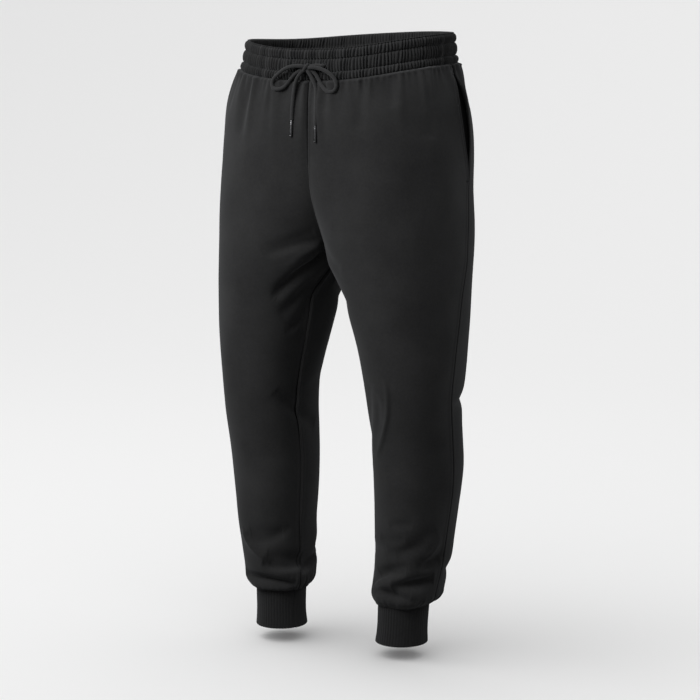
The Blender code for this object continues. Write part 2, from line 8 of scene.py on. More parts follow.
import bpy
import numpy as np
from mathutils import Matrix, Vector
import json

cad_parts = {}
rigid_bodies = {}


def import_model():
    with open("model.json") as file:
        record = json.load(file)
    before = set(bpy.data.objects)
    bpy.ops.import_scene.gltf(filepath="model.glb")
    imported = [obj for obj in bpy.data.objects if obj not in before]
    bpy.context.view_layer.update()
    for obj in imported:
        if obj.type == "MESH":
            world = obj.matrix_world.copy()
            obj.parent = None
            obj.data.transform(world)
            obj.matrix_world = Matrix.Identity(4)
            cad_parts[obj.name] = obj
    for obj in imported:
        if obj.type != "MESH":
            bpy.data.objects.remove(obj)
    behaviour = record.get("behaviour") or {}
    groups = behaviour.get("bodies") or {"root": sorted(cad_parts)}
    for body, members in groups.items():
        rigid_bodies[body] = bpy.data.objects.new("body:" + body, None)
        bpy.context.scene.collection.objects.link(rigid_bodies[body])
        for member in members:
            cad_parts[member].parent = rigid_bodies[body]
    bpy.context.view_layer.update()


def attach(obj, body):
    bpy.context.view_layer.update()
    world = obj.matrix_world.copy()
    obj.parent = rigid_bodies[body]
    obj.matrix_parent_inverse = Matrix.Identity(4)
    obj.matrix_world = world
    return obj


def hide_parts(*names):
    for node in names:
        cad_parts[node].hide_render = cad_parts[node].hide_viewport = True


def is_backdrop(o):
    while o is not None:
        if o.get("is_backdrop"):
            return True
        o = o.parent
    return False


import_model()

MM = 0.001

# The form's sizes, as in the CAD
CLOTH = 2 * MM
SEAM = 0.3 * MM
CROTCH_LEVEL = -362 * MM
BLOUSE_LEVEL = -912 * MM
TUCK_LENGTH = 34 * MM
TUCK_DROP = 22 * MM
CUFF_TOP = -931 * MM
CUFF_ROOM = 1.1 * MM
RIBS = 52
CORD = 6 * MM
EYELET_SPACING = 56 * MM
EYELET_LEVEL = -25.8 * MM
TILT = 0.137
ROLL = 0.006
SIDE_LIFT = 7.5 * MM
SIDE_TILT = 11.5 * MM
TWIST = 3.7 * MM
HALF_WAIST = 180 * MM
WAIST_DEPTH = 130 * MM
TILT_FADE = (-50 * MM, -360 * MM)
LIFT_FADE = (-50 * MM, -180 * MM)

# level, side_x, side_y, front_x, front_y, back_x, back_y, inner_x, inner_front, inner_back
SECTIONS = (
    (0, 177.5, 0, 40, -128, 50, 126, 0, -128, 126),
    (-50, 187, -10, 44, -133, 52, 128, 0, -131, 128),
    (-75, 197, -14, 50, -138, 56, 130, 0, -133, 131),
    (-100, 205.2, -17, 56, -142, 60, 133, 0, -132, 134),
    (-150, 213.5, -17, 66, -145, 68, 140, 0, -130, 138),
    (-200, 216, -17, 76, -147, 76, 143, 0, -126, 132),
    (-250, 216.5, -20, 86, -149, 84, 138, 0, -117, 115),
    (-300, 219.5, -21.5, 96, -149, 92, 128.5, 0, -98, 82),
    (-330, 221, -22, 103, -147.5, 98, 121, 0, -82, 40),
    (-350, 222, -22, 108, -145.6, 102, 115.5, 0, -67, -7),
    (-362, 222.4, -22, 111, -144, 105, 111.8, 0, -50, -50),
    (-385, 223, -22, 116, -141, 110, 104.5, 11, -39, -39),
    (-420, 223, -23, 121.5, -136.5, 117, 94.5, 25, -29, -29),
    (-460, 222, -24, 128, -132, 124, 85, 37, -25, -25),
    (-500, 220, -26, 133, -128, 130, 77, 48, -24, -24),
    (-540, 218, -27, 136.5, -124, 135, 69.5, 57, -26, -26),
    (-580, 215, -28, 139, -119.5, 138.5, 65, 64, -28, -28),
    (-620, 213, -25, 140, -113, 140, 63, 67, -24, -24),
    (-660, 211, -18, 140, -106, 140, 67, 69, -17, -17),
    (-700, 210, -14, 140, -99, 140, 69, 69, -13, -13),
    (-740, 207, -14, 138, -96, 138, 67, 69, -14, -14),
    (-780, 202, -16, 137, -94, 137, 63, 70, -16, -16),
    (-820, 197, -18, 135, -92, 135, 57, 72, -18, -18),
    (-860, 191, -18, 132, -89, 132, 54, 72, -18, -18),
    (-900, 184, -23, 127, -89, 127, 44, 69, -23, -23),
    (-912, 183, -26, 125, -89, 125, 40, 68, -26, -26),
)
# level, centre_x, centre_y, half_width, half_depth
CUFF_SECTIONS = (
    (-931, 121, -29, 43.0, 44.5),
    (-984, 119.3, -31.5, 42.7, 44.2),
    (-1000, 118.5, -32, 44.2, 45.7),
)
# level, turn
OUTSEAM = ((-48, 0.525), (-100, 0.545), (-260, 0.55), (-335, 0.53), (-420, 0.50), (-912, 0.49))
INSEAM_TURN = 0.055
INSEAM_SETTLED = -430 * MM

# The free edges of the pocket's mouth, off the side seam
# level, front's distance, back's distance, in millimetres
MOUTH_EDGES = (
    (-58, 0, 0),
    (-72, 12, 5),
    (-90, 21, 11),
    (-115, 26, 14),
    (-145, 24, 13),
    (-180, 15, 8),
    (-208, 5, 3),
    (-232, 0, 0),
)
MOUTH_WIDEST = 26
MOUTH_LIP = 3.5 * MM
MOUTH_RIDGES = ((3.2, 1.6), (7.8, 1.4))  # beside the stitches: from the edge, height

# side, from turn, from level, to turn, to level, width, depth
FOLDS = (
    ("right", 0.02, -312, 0.18, -347, 12, 5),
    ("right", 0.02, -348, 0.17, -420, 13, 7),
    ("right", 0.06, -392, 0.15, -455, 11, 6),
    ("left", 0.03, -335, 0.16, -370, 14, 3),
    ("left", 0.03, -376, 0.14, -440, 14, 4),
    ("both", 0.97, -362, 0.80, -392, 18, 3.5),
    ("both", 0.97, -395, 0.84, -450, 15, 4),
    ("right", -0.12, -560, 0.14, -610, 12, 1.5),
    ("right", 0.62, -585, 0.90, -560, 13, 6),
    ("left", 0.48, -602, 0.72, -575, 12, 6),
    ("left", 0.76, -600, 0.97, -570, 13, 5),
    ("left", 0.24, -560, 0.16, -690, 11, -0.5),
    ("left", 0.19, -550, 0.10, -690, 12, 4),
    ("right", 0.33, -836, 0.20, -884, 11, -4),
    ("right", 0.28, -832, 0.13, -829, 11, 4),
    ("right", 0.21, -868, -0.10, -890, 11, 7),
    ("right", 0.36, -902, 0.10, -912, 9, 5),
    ("right", 0.50, -862, 0.72, -888, 12, 6),
    ("right", 0.70, -846, 0.93, -872, 12, 6),
    ("left", 0.22, -846, 0.42, -798, 12, 4),
    ("left", 0.16, -874, 0.32, -858, 10, 5),
    ("left", 0.35, -862, 0.49, -842, 10, 5),
    ("left", 0.26, -890, 0.45, -883, 9, 5),
    ("left", 0.14, -900, 0.35, -909, 9, 4),
    ("left", 0.52, -884, 0.74, -858, 12, 6),
    ("left", 0.72, -896, 0.98, -868, 12, 6),
    ("left", 0.175, -54, 0.180, -130, 11, 4),
    ("left", 0.275, -54, 0.285, -100, 11, 3),
    ("left", 0.40, -54, 0.385, -155, 12, 4),
    ("right", 0.225, -54, 0.240, -145, 11, 4),
    ("right", 0.33, -54, 0.34, -110, 11, 3),
    ("both", 0.64, -54, 0.655, -120, 12, 4),
    ("both", 0.78, -54, 0.775, -130, 12, 4),
    ("both", 0.90, -54, 0.90, -110, 12, 3),
)
# Sharper creases that only the looks have, each through three places. Over is above a
# crease that runs round the leg, and behind one that runs down it.
# side, turn, level, turn, level, turn, level, width over, width under, depth
FINE_FOLDS = (
    ("left", 0.10, -300, 0.15, -309, 0.20, -318, 9, 9, 1.2),
    ("right", 0.015, -325, 0.083, -335, 0.172, -352, 7, 6, 4),
    ("right", 0.015, -335, 0.078, -349, 0.143, -369, 5, 5, -2.4),
    ("right", -0.03, -343, 0.085, -372, 0.172, -426, 10, 7, 8.5),
    ("right", -0.02, -390, 0.05, -420, 0.10, -480, 26, 22, 5),
    ("right", 0.078, -461, 0.097, -470, 0.13, -484, 8, 7, 2.5),
    ("right", -0.04, -650, 0.062, -620, 0.145, -582, 11, 12, 6),
    ("right", 0.222, -873, 0.285, -851, 0.325, -825, 3, 4.5, -3.2),
    ("right", 0.10, -820, 0.213, -845, 0.30, -833, 10, 8, 5),
    ("right", 0.02, -889, 0.138, -892, 0.235, -884, 15, 5, 11),
    ("right", -0.13, -878, -0.02, -895, 0.055, -900, 14, 5, 9),
    ("right", 0.08, -917, 0.213, -903, 0.38, -901, 5, 4, -3.5),
    ("right", 0.08, -926, 0.213, -919, 0.39, -914, 11, 4, 16),
    ("right", 0.09, -934, 0.205, -932, 0.34, -930, 5, 5, -3),
    ("left", 0.247, -545, 0.24, -611, 0.18, -680, 4, 5, -3.4),
    ("left", 0.203, -567, 0.205, -610, 0.17, -660, 8, 9, 3),
    ("left", 0.235, -791, 0.282, -787, 0.322, -789, 7, 7, 3),
    ("left", 0.185, -813, 0.242, -815, 0.297, -813, 7, 7, 3.5),
    ("left", 0.263, -840, 0.327, -830, 0.383, -818, 9, 9, 5),
    ("left", 0.07, -838, 0.14, -836, 0.22, -830, 8, 8, 3),
    ("left", 0.10, -903, 0.20, -878, 0.31, -871, 11, 5, 10),
    ("left", 0.13, -909, 0.24, -890, 0.31, -886, 6, 6, -3),
    ("left", 0.255, -894, 0.345, -890, 0.45, -884, 8, 10, 10),
    ("left", 0.12, -909, 0.26, -909, 0.38, -926, 7, 6, 9),
    ("left", 0.375, -848, 0.41, -835, 0.455, -815, 4, 6, -2.2),
    ("left", 0.375, -862, 0.423, -859, 0.47, -854, 9, 8, 5),
)

# How far the front's middle is filled out between the legs: level, millimetres
CENTRE_FILL = ((-50, 0), (-90, 3), (-150, 6), (-210, 6.5), (-270, 3.5), (-330, 0), (-950, 0))
CENTRE_WIDTH = 30 * MM

CORNER = 2.2
CENTRE_CREASE = math.radians(58)
FRONT_CLOSES = (290 * MM, 375 * MM)
BACK_CLOSES = (240 * MM, 345 * MM)
OUTLINE_POINTS = 160
FOLD_SAMPLES = 41
FOLD_ENDS = 0.6
STEP = 0.4 * MM
TURN_STEP = 0.002
TINY = 1e-6
SIDES = ("left", "right")
FRONT_TURNS = np.linspace(0, 0.45, 300)

# The drawstring: each cord comes out of its eyelet, goes through the knot, round its loop,
# through the knot again and down to its metal end.
# across, level, lift
CORD_LEFT = (
    (28, -25.8, 0.5), (27.8, -25.8, 2.6), (26.2, -25.6, 4.4), (22, -25, 5.0), (14, -24.7, 5.2),
    (5, -25.6, 6.2), (-3, -26.2, 9.5), (-9, -25.6, 12.2), (-16, -25, 12.9), (-25.6, -26.2, 12.2),
    (-35.6, -29, 10.9), (-46, -34.6, 9.5), (-55, -41.5, 8.2), (-62, -48.5, 7), (-65.3, -55.5, 5.6),
    (-64, -62, 5), (-58.3, -64.9, 5), (-50, -64, 5), (-42.7, -60.6, 5), (-36.5, -54, 4.9),
    (-31, -46.8, 4.9), (-25, -40.2, 5), (-18, -34.8, 5.4), (-10, -31.2, 6.8), (-3, -30, 8.6),
    (1.5, -31.5, 9.6), (4.5, -35, 9.8), (8, -40, 9.4), (12.5, -47, 8.6), (16.8, -56, 7.2),
    (19.2, -66, 6), (20, -80, 5.3), (20.4, -100, 4.8), (20.2, -122.6, 4.6),
)
CORD_RIGHT = (
    (-28, -25.8, 0.5), (-27.8, -25.8, 2.6), (-26.2, -25.9, 4.4), (-21, -26, 5), (-15, -26.2, 5.2),
    (-6, -27, 5.2), (0, -28, 7.5), (6, -27.6, 10.6), (12, -27.4, 11.7), (18, -28, 11.8),
    (26, -29.8, 11.2), (35, -33.4, 10.2), (43.4, -38.5, 9.2), (50.5, -45.4, 7.8), (54.7, -53, 6.6),
    (55.3, -60.7, 5.4), (51.4, -66.4, 5), (44, -67.6, 5), (35.8, -64, 5), (29.5, -58.2, 5),
    (23.5, -50.5, 4.9), (18.5, -43, 4.9), (13, -36.5, 5.2), (7, -32.5, 5.6), (1, -31.5, 6),
    (-4, -32, 7.6), (-8, -34, 9.2), (-12, -38, 9.6), (-17.5, -45.5, 9), (-21.2, -55, 7.6),
    (-23.2, -66, 6.2), (-24.2, -78, 5.3), (-25.2, -95.4, 4.8), (-25.9, -113.2, 4.6),
)
KNOT_AT = (-1.5, -28, 8.2)


def smoothstep(value, low, high):
    """0 at low, 1 at high, smooth between them."""
    share = np.clip((value - low) / (high - low), 0, 1)
    return share * share * (3 - 2 * share)


def hump(offset, width):
    """1 where the offset is 0, and next to nothing from twice the width on."""
    return np.exp(-((offset / width) ** 2))


def round_angles(count):
    """Even angles once round, without the last, which is the first again."""
    return np.linspace(0, 2 * math.pi, count, endpoint=False)


def distances(points):
    """How far along a line each of its points is."""
    return np.concatenate([[0], np.cumsum(np.linalg.norm(np.diff(points, axis=0), axis=1))])


def curve(rows, where):
    """A smooth curve through a table's rows, whose first column is the place."""
    table = np.array(rows, float)
    table = table[np.argsort(table[:, 0])]
    place_at, values = table[:, 0], table[:, 1:]
    where = np.clip(np.asarray(where, float), place_at[0], place_at[-1])
    i = np.clip(np.searchsorted(place_at, where, "right") - 1, 0, len(place_at) - 2)
    slope = np.gradient(values, place_at, axis=0)
    span = (place_at[i + 1] - place_at[i])[:, None]
    u = ((where - place_at[i]) / (place_at[i + 1] - place_at[i]))[:, None]
    return (
        (2 * u**3 - 3 * u**2 + 1) * values[i]
        + (u**3 - 2 * u**2 + u) * span * slope[i]
        + (3 * u**2 - 2 * u**3) * values[i + 1]
        + (u**3 - u**2) * span * slope[i + 1]
    )


def stations(levels):
    """Each level's nine section sizes and its height: the end turns in and runs down the cuff."""
    levels = np.asarray(levels, float)
    section = curve(SECTIONS, np.maximum(levels, BLOUSE_LEVEL) / MM) * MM
    x, y, wide, deep = curve(CUFF_SECTIONS, np.full(len(levels), CUFF_TOP / MM)).T * MM
    wide = wide + CUFF_ROOM
    deep = deep + CUFF_ROOM
    cuff = np.stack([x + wide, y, x, y - deep, x, y + deep, x - wide, y, y], 1)
    share = np.clip((BLOUSE_LEVEL - levels) / TUCK_LENGTH, 0, 1)
    quarter = share * math.pi / 2
    outward = np.cos(quarter) * (1 - share**2) + 0.5 * (1 + np.cos(2 * quarter)) * share**2
    section = cuff + (section - cuff) * outward[:, None]
    drop = TUCK_DROP * (0.6 * np.sin(quarter) + 0.4 * share)
    return section, np.maximum(levels, BLOUSE_LEVEL) - drop


def outlines(levels):
    """The left half's outline at each level, and its height: inner seam, front, side, back."""
    section, height = stations(levels)
    side_x, side_y, front_x, front_y, back_x, back_y, inner_x, inner_front, inner_back = (
        section[:, k : k + 1] for k in range(9)
    )
    below = -np.asarray(levels, float)[:, None]
    share = np.linspace(0, 1, OUTLINE_POINTS + 1)[None, :]

    def quarter(from_x, from_y, to_x, to_y, rounding=1.0):
        last = CENTRE_CREASE + (math.pi / 2 - CENTRE_CREASE) * rounding
        across = np.sin(share * last) ** (2 / CORNER) / np.sin(last) ** (2 / CORNER)
        deep = (1 - np.cos(share * last) ** (2 / CORNER)) / (1 - np.cos(last) ** (2 / CORNER))
        return from_x + (to_x - from_x) * across, from_y + (to_y - from_y) * deep

    front_round = smoothstep(below, *FRONT_CLOSES)
    back_round = smoothstep(below, *BACK_CLOSES)
    runs = (
        [line[:, ::-1] for line in quarter(front_x, front_y, inner_x, inner_front, front_round)],
        quarter(front_x, front_y, side_x, side_y),
        [line[:, ::-1] for line in quarter(back_x, back_y, side_x, side_y)],
        quarter(back_x, back_y, inner_x, inner_back, back_round),
    )
    x, y = (np.concatenate([runs[0][k]] + [run[k][:, 1:] for run in runs[1:]], 1) for k in (0, 1))
    return x, y, height


def base(turns, levels):
    """Points of the left half before folds. turns has a row for each level."""
    x, y, height = outlines(levels)
    half = 2 * OUTLINE_POINTS
    points = np.empty(turns.shape + (3,))
    for row, level in enumerate(levels):
        length = np.concatenate([[0], np.cumsum(np.hypot(np.diff(x[row]), np.diff(y[row])))])
        front, back = length[half], length[-1] - length[half]
        back_half = 0.5 + 0.5 * (length - front) / back
        turn_at = np.where(length <= front, 0.5 * length / front, back_half)
        if level < CROTCH_LEVEL + TINY:
            turn = turns[row] % 1.0
            flip = np.ones_like(turn)
        else:
            turn = np.where(turns[row] < 0, -turns[row], turns[row])
            turn = np.where(turn > 1, 2 - turn, turn)
            flip = np.where((turns[row] < 0) | (turns[row] > 1), -1.0, 1.0)
        points[row, :, 0] = np.interp(turn, turn_at, x[row]) * flip
        points[row, :, 1] = np.interp(turn, turn_at, y[row])
        points[row, :, 2] = height[row]
    return points


def half_lengths(levels):
    """The length of the front half and of the back half of each outline."""
    x, y, _ = outlines(levels)
    steps = np.hypot(np.diff(x, axis=1), np.diff(y, axis=1))
    half = 2 * OUTLINE_POINTS
    return steps[:, :half].sum(1), steps[:, half:].sum(1)


def normals(turns, levels):
    """Outward directions of the left half."""
    levels = np.asarray(levels, float)
    round_half = base(turns + TURN_STEP, levels) - base(turns - TURN_STEP, levels)
    down = base(turns, levels - STEP) - base(turns, levels + STEP)
    out = np.cross(down, round_half)
    return out / np.maximum(np.linalg.norm(out, axis=2, keepdims=True), 1e-12)


def fold_rows(side):
    """Each fold of one half: start, middle, end, width over, width under, depth."""
    for fold_side, turn, level, to_turn, to_level, width, depth in FOLDS:
        if fold_side in (side, "both"):
            middle = ((turn + to_turn) / 2, (level + to_level) / 2)
            yield (turn, level), middle, (to_turn, to_level), width, width, depth
    for fold_side, *places, over, under, depth in FINE_FOLDS:
        if fold_side in (side, "both"):
            yield places[:2], places[2:4], places[4:], over, under, depth


def fold_path(start, middle, end):
    """Points along a fold on the plain form, and the directions that lie over it."""
    share = np.linspace(0, 1, FOLD_SAMPLES)
    places = (
        np.outer((1 - share) * (1 - 2 * share), start)
        + np.outer(4 * share * (1 - share), middle)
        + np.outer(share * (2 * share - 1), end)
    )
    turns, levels = places[:, :1], places[:, 1] * MM
    path = base(turns, levels)[:, 0]
    return path, np.cross(normals(turns, levels)[:, 0], np.gradient(path, axis=0))


FOLD_PATHS = {
    side: [(*fold_path(*row[:3]), *row[3:]) for row in fold_rows(side)] for side in SIDES
}


def folds(side, points):
    """How far the folds push each point of one half out."""
    height = np.zeros(points.shape[:-1])
    depth_at = np.sin(np.pi * np.linspace(0, 1, FOLD_SAMPLES)) ** FOLD_ENDS
    for path, overhead, over, under, depth in FOLD_PATHS[side]:
        near = np.abs(points - (path.max(0) + path.min(0)) / 2) < (
            (path.max(0) - path.min(0)) / 2 + 3 * max(over, under) * MM
        )
        near = near.all(-1)
        if not near.any():
            continue
        close = points[near]
        nearest = ((path**2).sum(-1) - 2 * close @ path.T).argmin(-1)
        offset = close - path[nearest]
        above = (offset * overhead[nearest]).sum(-1) > 0
        width = np.where(above, over, under) * MM
        slope = np.exp(-(offset**2).sum(-1) / width**2)
        height[near] -= depth * MM * depth_at[nearest] * slope
    return height


def hang(points):
    """Tilts and rolls the waist, lifts its sides and twists it a little."""
    x, y, z = np.moveaxis(points, -1, 0)
    tilt = 1 - smoothstep(-z, -TILT_FADE[0], -TILT_FADE[1])
    lift = 1 - smoothstep(-z, -LIFT_FADE[0], -LIFT_FADE[1])
    across, deep = x / HALF_WAIST, y / WAIST_DEPTH
    z = z + tilt * (TILT * y + ROLL * x)
    z = z + lift * (SIDE_LIFT * across**2 - SIDE_TILT * across**2 * deep + TWIST * across * deep)
    return np.stack([x, y, z], -1)


class Form:
    """The garment's outer surface at a grid of turns and levels, to lift points from."""

    def __init__(self, side, turns, levels):
        self.side = side
        self.points = base(turns, levels)
        self.out = normals(turns, levels)
        self.folds = folds(side, self.points)

    def at(self, lift, least=SEAM / 2):
        raised = self.folds + lift
        points = self.points + self.out * raised[..., None]
        points[..., 0] = np.maximum(points[..., 0], least)
        if self.side == "right":
            points[..., 0] *= -1
        return hang(points)


def mouth(levels):
    """0 along the seam, 1 at the widest of the pocket's mouth."""
    return np.clip(curve(MOUTH_EDGES, levels / MM)[:, 0] / MOUTH_WIDEST, 0, 1)


def edges(panel, levels):
    """A panel's first and last turn at each level, and the length of one turn there."""
    front, back = half_lengths(levels)
    inseam = INSEAM_TURN * smoothstep(-levels, -CROTCH_LEVEL, -INSEAM_SETTLED)
    outseam = curve(OUTSEAM, levels / MM)[:, 0]
    front_gap, back_gap = SEAM / 2 + np.maximum(curve(MOUTH_EDGES, levels / MM), 0).T * MM
    if panel == "front":
        scale = front / 0.5
        return inseam + SEAM / 2 / scale, outseam - front_gap / scale, scale
    scale = back / 0.5
    return outseam + back_gap / scale, 1 + inseam - SEAM / 2 / scale, scale


# ---------------------------------------------------------------- meshes

TURNED = [0, 3, 2, 1]          # a quad's corners the other way round


def mesh_object(name, vertices, faces, uv, finish, sharp=None):
    """A mesh object from arrays: faces is a list of arrays, each with one face per row."""
    mesh = bpy.data.meshes.new(name)
    loops = np.concatenate([f.ravel() for f in faces]).astype(np.int32)
    totals = np.concatenate([np.full(len(f), f.shape[1]) for f in faces]).astype(np.int32)
    starts = np.concatenate([[0], np.cumsum(totals)[:-1]]).astype(np.int32)
    mesh.vertices.add(len(vertices))
    mesh.vertices.foreach_set("co", np.asarray(vertices, np.float32).ravel())
    mesh.loops.add(len(loops))
    mesh.loops.foreach_set("vertex_index", loops)
    mesh.polygons.add(len(totals))
    mesh.polygons.foreach_set("loop_start", starts)
    mesh.polygons.foreach_set("loop_total", totals)
    mesh.update(calc_edges=True)
    mesh.validate()
    layer = mesh.uv_layers.new(name="UVMap")
    layer.data.foreach_set("uv", np.asarray(uv, np.float32)[loops].ravel())
    if signed_volume(vertices, faces) < 0:
        mesh.flip_normals()
    mesh.shade_smooth()
    if sharp:
        mesh.set_sharp_from_angle(angle=sharp)
    mesh.materials.append(finish)
    made = bpy.data.objects.new(name, mesh)
    bpy.context.scene.collection.objects.link(made)
    return made


def signed_volume(vertices, faces):
    """Above 0 where a closed mesh's faces point out."""
    total = 0.0
    for face in faces:
        corner = vertices[face]
        for k in range(1, face.shape[1] - 1):
            total += np.einsum("ij,ij->", corner[:, 0], np.cross(corner[:, k], corner[:, k + 1]))
    return total


def fasten(made, slot, *nodes):
    """Rides a piece on the garment and hides the nodes that it stands for; the slot is not used."""
    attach(made, "root")
    if nodes:
        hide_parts(*nodes)


def around(grid):
    """A grid of vertex numbers, closed by its first column."""
    return np.concatenate([grid, grid[:, :1]], 1)


def quads(grid):
    """The faces between the neighbours in a grid of vertex numbers."""
    corners = grid[:-1, :-1], grid[1:, :-1], grid[1:, 1:], grid[:-1, 1:]
    return np.stack(corners, -1).reshape(-1, 4)


def uv_grid(across, along):
    """UVs from the places across and along a piece."""
    return np.stack(np.broadcast_arrays(across, along), -1)


def strip(upper, lower, upper_at, lower_at):
    """Triangles between two lines of vertices with different spacing, matched by place."""
    faces = []
    i = j = 0
    while i < len(upper) - 1 or j < len(lower) - 1:
        ahead = i < len(upper) - 1 and (
            j == len(lower) - 1 or upper_at[i + 1] <= lower_at[j + 1]
        )
        if ahead:
            faces.append((upper[i], lower[j], upper[i + 1]))
            i += 1
        else:
            faces.append((upper[i], lower[j], lower[j + 1]))
            j += 1
    return np.array(faces)


def wall(name, outer, inner, outer_uv, inner_uv, finish, ring=False):
    """The closed wall between an outer grid and an inner one, which may be coarser."""
    count = outer.size // 3
    grid = np.arange(count).reshape(outer.shape[:2])
    under = count + np.arange(inner.size // 3).reshape(inner.shape[:2])
    if ring:
        grid, under = around(grid), around(under)
    ends_at = [np.linspace(0, 1, line.shape[1]) for line in (grid, under)]
    top = strip(grid[0], under[0], *ends_at)
    bottom = strip(grid[-1], under[-1], *ends_at)
    faces = [quads(grid), quads(under)[:, TURNED], top[:, ::-1], bottom]
    if not ring:
        sides_at = [uv[0, 0, 1] - uv[:, 0, 1] for uv in (outer_uv, inner_uv)]
        first = strip(grid[:, 0], under[:, 0], *sides_at)
        last = strip(grid[:, -1], under[:, -1], *sides_at)
        faces += [first, last[:, ::-1]]
    vertices = np.concatenate([outer.reshape(-1, 3), inner.reshape(-1, 3)])
    uv = np.concatenate([outer_uv.reshape(-1, 2), inner_uv.reshape(-1, 2)])
    return mesh_object(name, vertices, faces, uv, finish)


def capped(rings, first, last):
    """A closed mesh from rings of vertices and the points that close its two ends."""
    sides = rings.shape[1]
    count = rings.size // 3
    grid = around(np.arange(count).reshape(-1, sides))
    start, end = grid[0], grid[-1]
    first_fan = np.stack([start[1:], start[:-1], np.full(sides, count)], -1)
    last_fan = np.stack([end[:-1], end[1:], np.full(sides, count + 1)], -1)
    faces = [quads(grid)[:, TURNED], np.concatenate([first_fan, last_fan])]
    return np.concatenate([rings.reshape(-1, 3), [first, last]]), faces


def tube(points, radius, sides, relief=None, closed=False):
    """Vertices, faces and UVs of a tube along points, with relief pushed out of its round."""
    along = np.gradient(points, axis=0)
    if closed:
        along = np.roll(points, -1, 0) - np.roll(points, 1, 0)
    along /= np.linalg.norm(along, axis=1, keepdims=True)
    first = np.empty_like(points)
    guide = np.cross(along[0], (0.3, -0.8, 0.5))
    for k in range(len(points)):
        guide = guide - along[k] * (guide @ along[k])
        guide /= np.linalg.norm(guide)
        first[k] = guide
    second = np.cross(along, first)
    angle = round_angles(sides)
    far = distances(points)
    turn = np.tile(angle, (len(points), 1))
    if closed:
        # Turns the frame back evenly, so that the first and last rings meet
        twist = math.atan2(first[-1] @ second[0], first[-1] @ first[0])
        turn -= (twist * far / far[-1])[:, None]
    reach = np.full(turn.shape, radius)
    if relief:
        reach += relief(far[:, None], angle)
    rings = points[:, None] + reach[..., None] * (
        np.cos(turn)[..., None] * first[:, None] + np.sin(turn)[..., None] * second[:, None]
    )
    if closed:
        grid = around(np.arange(turn.size).reshape(turn.shape))
        grid = np.concatenate([grid, grid[:1]])
        vertices, faces = rings.reshape(-1, 3), [quads(grid)[:, TURNED]]
    else:
        vertices, faces = capped(rings, points[0], points[-1])
    uv = np.zeros((len(vertices), 2))
    uv[: turn.size] = uv_grid(angle * radius, far[:, None]).reshape(-1, 2)
    return vertices, faces, uv


def joined(name, parts, finish, sharp=None):
    """One object from several closed meshes, each given as vertices, faces and UVs."""
    vertices, faces, uvs = [], [], []
    offset = 0
    for part_vertices, part_faces, part_uv in parts:
        vertices.append(part_vertices)
        uvs.append(part_uv)
        faces += [face + offset for face in part_faces]
        offset += len(part_vertices)
    by_size = {}
    for face in faces:
        by_size.setdefault(face.shape[1], []).append(face)
    return mesh_object(
        name,
        np.concatenate(vertices),
        [np.concatenate(group) for group in by_size.values()],
        np.concatenate(uvs),
        finish,
        sharp=sharp,
    )


# ---------------------------------------------------------------- materials


class Nodes:
    """Builds one procedural material."""

    def __init__(self, name):
        self.material = bpy.data.materials.new(name)
        self.material.use_nodes = True
        self.tree = self.material.node_tree
        self.shader = self.tree.nodes["Principled BSDF"]
        self.coordinates = self.tree.nodes.new("ShaderNodeTexCoord")

    def set(self, **values):
        for key, value in values.items():
            self.shader.inputs[key.replace("_", " ")].default_value = value

    def feed(self, socket, value):
        if isinstance(value, bpy.types.NodeSocket):
            self.tree.links.new(value, socket)
        else:
            socket.default_value = value

    def node(self, kind, **inputs):
        made = self.tree.nodes.new("ShaderNode" + kind)
        for key, value in inputs.items():
            if key in made.inputs:
                self.feed(made.inputs[key], value)
            else:
                setattr(made, key, value)
        return made

    def noise(self, scale, detail, roughness):
        where = self.coordinates.outputs["Object"]
        made = self.node("TexNoise", Vector=where, Scale=scale, Detail=detail, Roughness=roughness)
        return made.outputs["Fac"]

    def math(self, operation, a, b):
        made = self.node("Math", operation=operation)
        for socket, value in zip(made.inputs, (a, b)):
            self.feed(socket, value)
        return made.outputs[0]

    def ramp(self, factor, stops):
        made = self.node("ValToRGB", Fac=factor)
        while len(made.color_ramp.elements) < len(stops):
            made.color_ramp.elements.new(0.5)
        for element, (at, colour) in zip(made.color_ramp.elements, stops):
            element.position = at
            element.color = (*colour, 1)
        return made.outputs["Color"]

    def link(self, output, socket):
        self.tree.links.new(output, self.shader.inputs[socket])

    def bump(self, height, distance, strength, before=None):
        made = self.node("Bump", Distance=distance, Strength=strength, Height=height)
        if before:
            self.feed(made.inputs["Normal"], before)
        return made.outputs["Normal"]


def matt(name, roughness):
    """The start of a cloth material: hardly any gloss, and the pale sheen of short fibres."""
    made = Nodes(name)
    made.set(Roughness=roughness, Specular_IOR_Level=0.05)
    made.set(Sheen_Weight=0.05, Sheen_Roughness=0.6, Sheen_Tint=(0.75, 0.77, 0.8, 1))
    return made


def fabric(name, dark, light, nap=0.35, roughness=0.95):
    """Matt cloth: mottled colour, a fine nap and a fine knit grain."""
    made = matt(name, roughness)
    wide = made.noise(14, 4, 0.6)
    fine = made.noise(260, 4, 0.7)
    hair = made.noise(1300, 2, 0.6)
    both = made.math("ADD", made.math("MULTIPLY", wide, 0.45), made.math("MULTIPLY", fine, 0.35))
    both = made.math("ADD", both, made.math("MULTIPLY", hair, 0.2))
    made.link(made.ramp(both, ((0.36, dark), (0.64, light))), "Base Color")
    soft = made.bump(fine, 0.35 * MM, nap)
    made.link(made.bump(hair, 0.18 * MM, nap, soft), "Normal")
    return made.material


